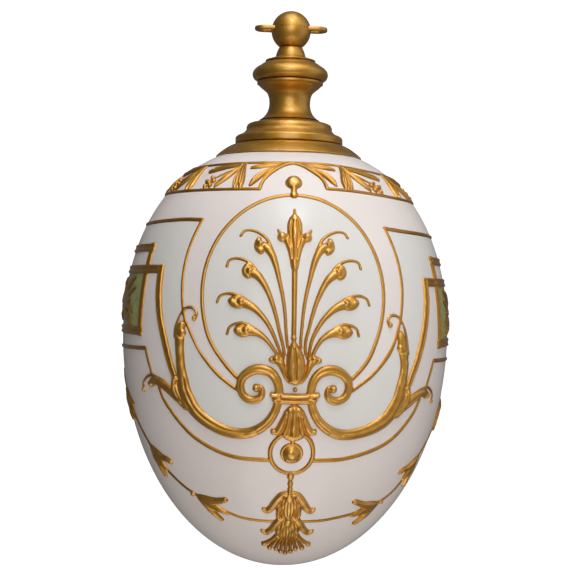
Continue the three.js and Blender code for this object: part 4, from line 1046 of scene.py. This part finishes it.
def inside_by(outline, angle, depth):
    """Distance inside a closed outline, negative outside, measured on the unrolled girth."""
    ring = np.array([(a * GIRTH_RADIUS, d) for a, d in outline])
    spots = np.stack([angle * GIRTH_RADIUS, depth], -1)
    nearest = np.full(len(spots), 1e9)
    inside = np.zeros(len(spots), bool)
    for (x0, y0), (x1, y1) in zip(ring, np.roll(ring, -1, 0)):
        dx = x1 - x0
        dy = y1 - y0
        t = ((spots[:, 0] - x0) * dx + (spots[:, 1] - y0) * dy) / max(dx * dx + dy * dy, 1e-9)
        t = np.clip(t, 0, 1)
        away = np.hypot(spots[:, 0] - x0 - t * dx, spots[:, 1] - y0 - t * dy)
        nearest = np.minimum(nearest, away)
        if y0 != y1:
            crossed = (y0 > spots[:, 1]) != (y1 > spots[:, 1])
            inside ^= crossed & (spots[:, 0] < dx * (spots[:, 1] - y0) / dy + x0)
    return np.where(inside, nearest, -nearest)


def track(rows):
    """Angles and depths along a path."""
    return [(a, d) for a, d, _ in curve(rows, 0.5)]


def field_outline():
    """Celadon field: the oval, the space inside the scrolls and the field beside the outer line."""
    out = [(PAST_FRONT, OVAL_CENTRE - OVAL_RISE)]
    out += track(across(oval_rows())) + track(across(OUTER_LINE))[::-1]
    out += [(PAST_SIDE, 57.8), (PAST_SIDE, 65)]
    out += track(around([(61, 65), (61, 70.6)])) + [(math.radians(51.8), 70.6)]
    out += track(around([(51.9, 71.5), (50.9, 77), (49.1, 83), (46.3, 89.5), (43.4, 95.5)]))
    out += track(across(ARM[7:]))
    return out + [(math.radians(5.7), 101.4), (PAST_FRONT, 101.4)]


def glazed_egg():
    """Glaze and hollow from the foot up and down again, with the fields as stored distances."""
    outer = [(AXIS_GAP, GIRTH_DEPTH + LOWER_HEIGHT - 0.001)]
    for a in np.linspace(0, math.pi / 2, 150)[1:-1]:
        outer.append((GIRTH_RADIUS * math.sin(a), GIRTH_DEPTH + LOWER_HEIGHT * math.cos(a)))
    for a in np.linspace(0, math.pi / 2, 150):
        r = NECK_OPENING + (GIRTH_RADIUS - NECK_OPENING) * math.cos(a)
        outer.append((r, float(egg_depth(r))))
    inner = []
    for a in np.linspace(math.pi / 2, 0, 12)[:-1]:
        r = NECK_OPENING + (GIRTH_RADIUS - WALL - NECK_OPENING) * math.cos(a)
        inner.append((r, float(egg_depth(r, WALL))))
    for a in np.linspace(math.pi / 2, 0.0004, 16):
        r = (GIRTH_RADIUS - WALL) * math.sin(a)
        inner.append((r, GIRTH_DEPTH + (LOWER_HEIGHT - WALL) * math.cos(a)))
    profile = np.array(outer + inner)
    points, faces = turned(profile, EGG_SEGMENTS)
    faces = faces[:-EGG_SEGMENTS]
    piece = new_piece("glazed_egg", points, faces, GLAZE, "egg", "egg_shell", "porcelain")
    angle = np.arange(EGG_SEGMENTS) * 2 * math.pi / EGG_SEGMENTS
    depth = profile[:, 1:2] - hand_lean(angle, profile[:, 1:2])
    shifted = angle - hand_shift(angle, profile[:, 1:2])
    folded = np.abs((shifted + math.pi / 2) % math.pi - math.pi / 2)
    panel = [(PANEL_EDGE, PANEL_TOP), (PAST_SIDE, PANEL_TOP), (PAST_SIDE, PANEL_FOOT),
             (PANEL_EDGE, PANEL_FOOT)]
    add_values(piece, "celadon", inside_by(field_outline(), folded.ravel(), depth.ravel()))
    add_values(piece, "panel", inside_by(panel, folded.ravel(), depth.ravel()))
    return piece


glazed_egg()

# Camera, lights and stage, in metres

AIM = Vector((-0.0003, 0, -0.07355))
AZIMUTH = math.radians(-3.5)
ROLL = math.radians(1.15)
CAMERA_DISTANCE = 0.362
FOCAL_LENGTH = 79.5
SENSOR_WIDTH = 36
AMBIENT = 0.1
DOME_RADIUS = 4
DOME_RINGS = 25
DOME_SEGMENTS = 48
FLOOR_REACH = 3
FLOOR_LEVEL = -0.6

camera = placed("camera", bpy.data.cameras.new("camera"))
camera.data.lens = FOCAL_LENGTH
camera.data.sensor_width = SENSOR_WIDTH
camera.data.clip_start = 0.01
camera.data.clip_end = 20
camera.matrix_world = (Matrix.Translation(AIM) @ Matrix.Rotation(AZIMUTH, 4, "Z")
                       @ Matrix.Translation((0, -CAMERA_DISTANCE, 0))
                       @ Matrix.Rotation(math.pi / 2, 4, "X") @ Matrix.Rotation(ROLL, 4, "Z"))
bpy.context.scene.camera = camera


def softbox(name, azimuth, elevation, distance, size, power, colour=(1, 1, 1)):
    """Round soft light aimed at the egg, placed by its direction."""
    light = bpy.data.lights.new(name, "AREA")
    light.shape = "DISK"
    light.size = size
    light.energy = power
    light.color = colour
    box = placed(name, light)
    a = math.radians(azimuth)
    e = math.radians(elevation)
    back = Vector((math.sin(a) * math.cos(e), -math.cos(a) * math.cos(e), math.sin(e)))
    box.location = AIM + back * distance
    box.rotation_mode = "QUATERNION"
    box.rotation_quaternion = (-back).to_track_quat("-Z", "Y")
    return box


softbox("key", 16, 58, 0.8, 1.0, 2.3)
softbox("lamp", 4, 57, 0.78, 0.25, 1.15)
softbox("top", 0, 84, 0.8, 0.6, 1.2, (0.93, 0.97, 1))
softbox("fill_right", 75, 15, 0.9, 1.0, 1.25)
softbox("fill_front", -4, 15, 1.1, 0.8, 3.75, (0.97, 0.99, 1))
softbox("bounce_right", 60, -25, 0.9, 0.8, 0.55)
softbox("bounce", 0, -60, 0.9, 0.9, 3.3, (1, 0.96, 0.92))
softbox("side_right", 85, 45, 0.9, 0.8, 0.3)
# lights the back without a streak of gloss along the edge
softbox("back", 180, 40, 0.9, 0.9, 2.0).visible_glossy = False

world = bpy.data.worlds.new("studio")
world.use_nodes = True
settle(world.node_tree.nodes["Background"], {"Color": (1, 1, 1, 1), "Strength": AMBIENT})
bpy.context.scene.world = world
bpy.context.scene.view_settings.view_transform = "Standard"


def stage_material(name, strength):
    """White that shines by itself."""
    material, _, surface = shader(name)
    white = (1, 1, 1, 1)
    settle(surface, {"Base Color": white, "Emission Color": white, "Emission Strength": strength})
    return material


def staged(name, points, faces, material):
    """Piece of the backdrop; it shows to the camera and lights nothing."""
    mesh = bpy.data.meshes.new(name)
    mesh.from_pydata(points, [], faces)
    mesh.materials.append(material)
    made = placed(name, mesh)
    made.visible_diffuse = False
    made.visible_glossy = False
    made.visible_transmission = False
    made.visible_shadow = False
    return made


def dome():
    points = []
    for b in np.linspace(-math.pi / 2, math.pi / 2, DOME_RINGS):
        r = DOME_RADIUS * math.cos(b)
        for a in np.arange(DOME_SEGMENTS) * 2 * math.pi / DOME_SEGMENTS:
            points.append((r * math.cos(a), r * math.sin(a), DOME_RADIUS * math.sin(b)))
    return points, grid_faces(DOME_RINGS, DOME_SEGMENTS).tolist()


WHITE = stage_material("white_stage", 1.0)
staged("backdrop", *dome(), WHITE)
corners = [(FLOOR_REACH * x, FLOOR_REACH * y, FLOOR_LEVEL)
           for x, y in ((-1, -1), (1, -1), (1, 1), (-1, 1))]
staged("floor", corners, [(0, 1, 2, 3)], WHITE)
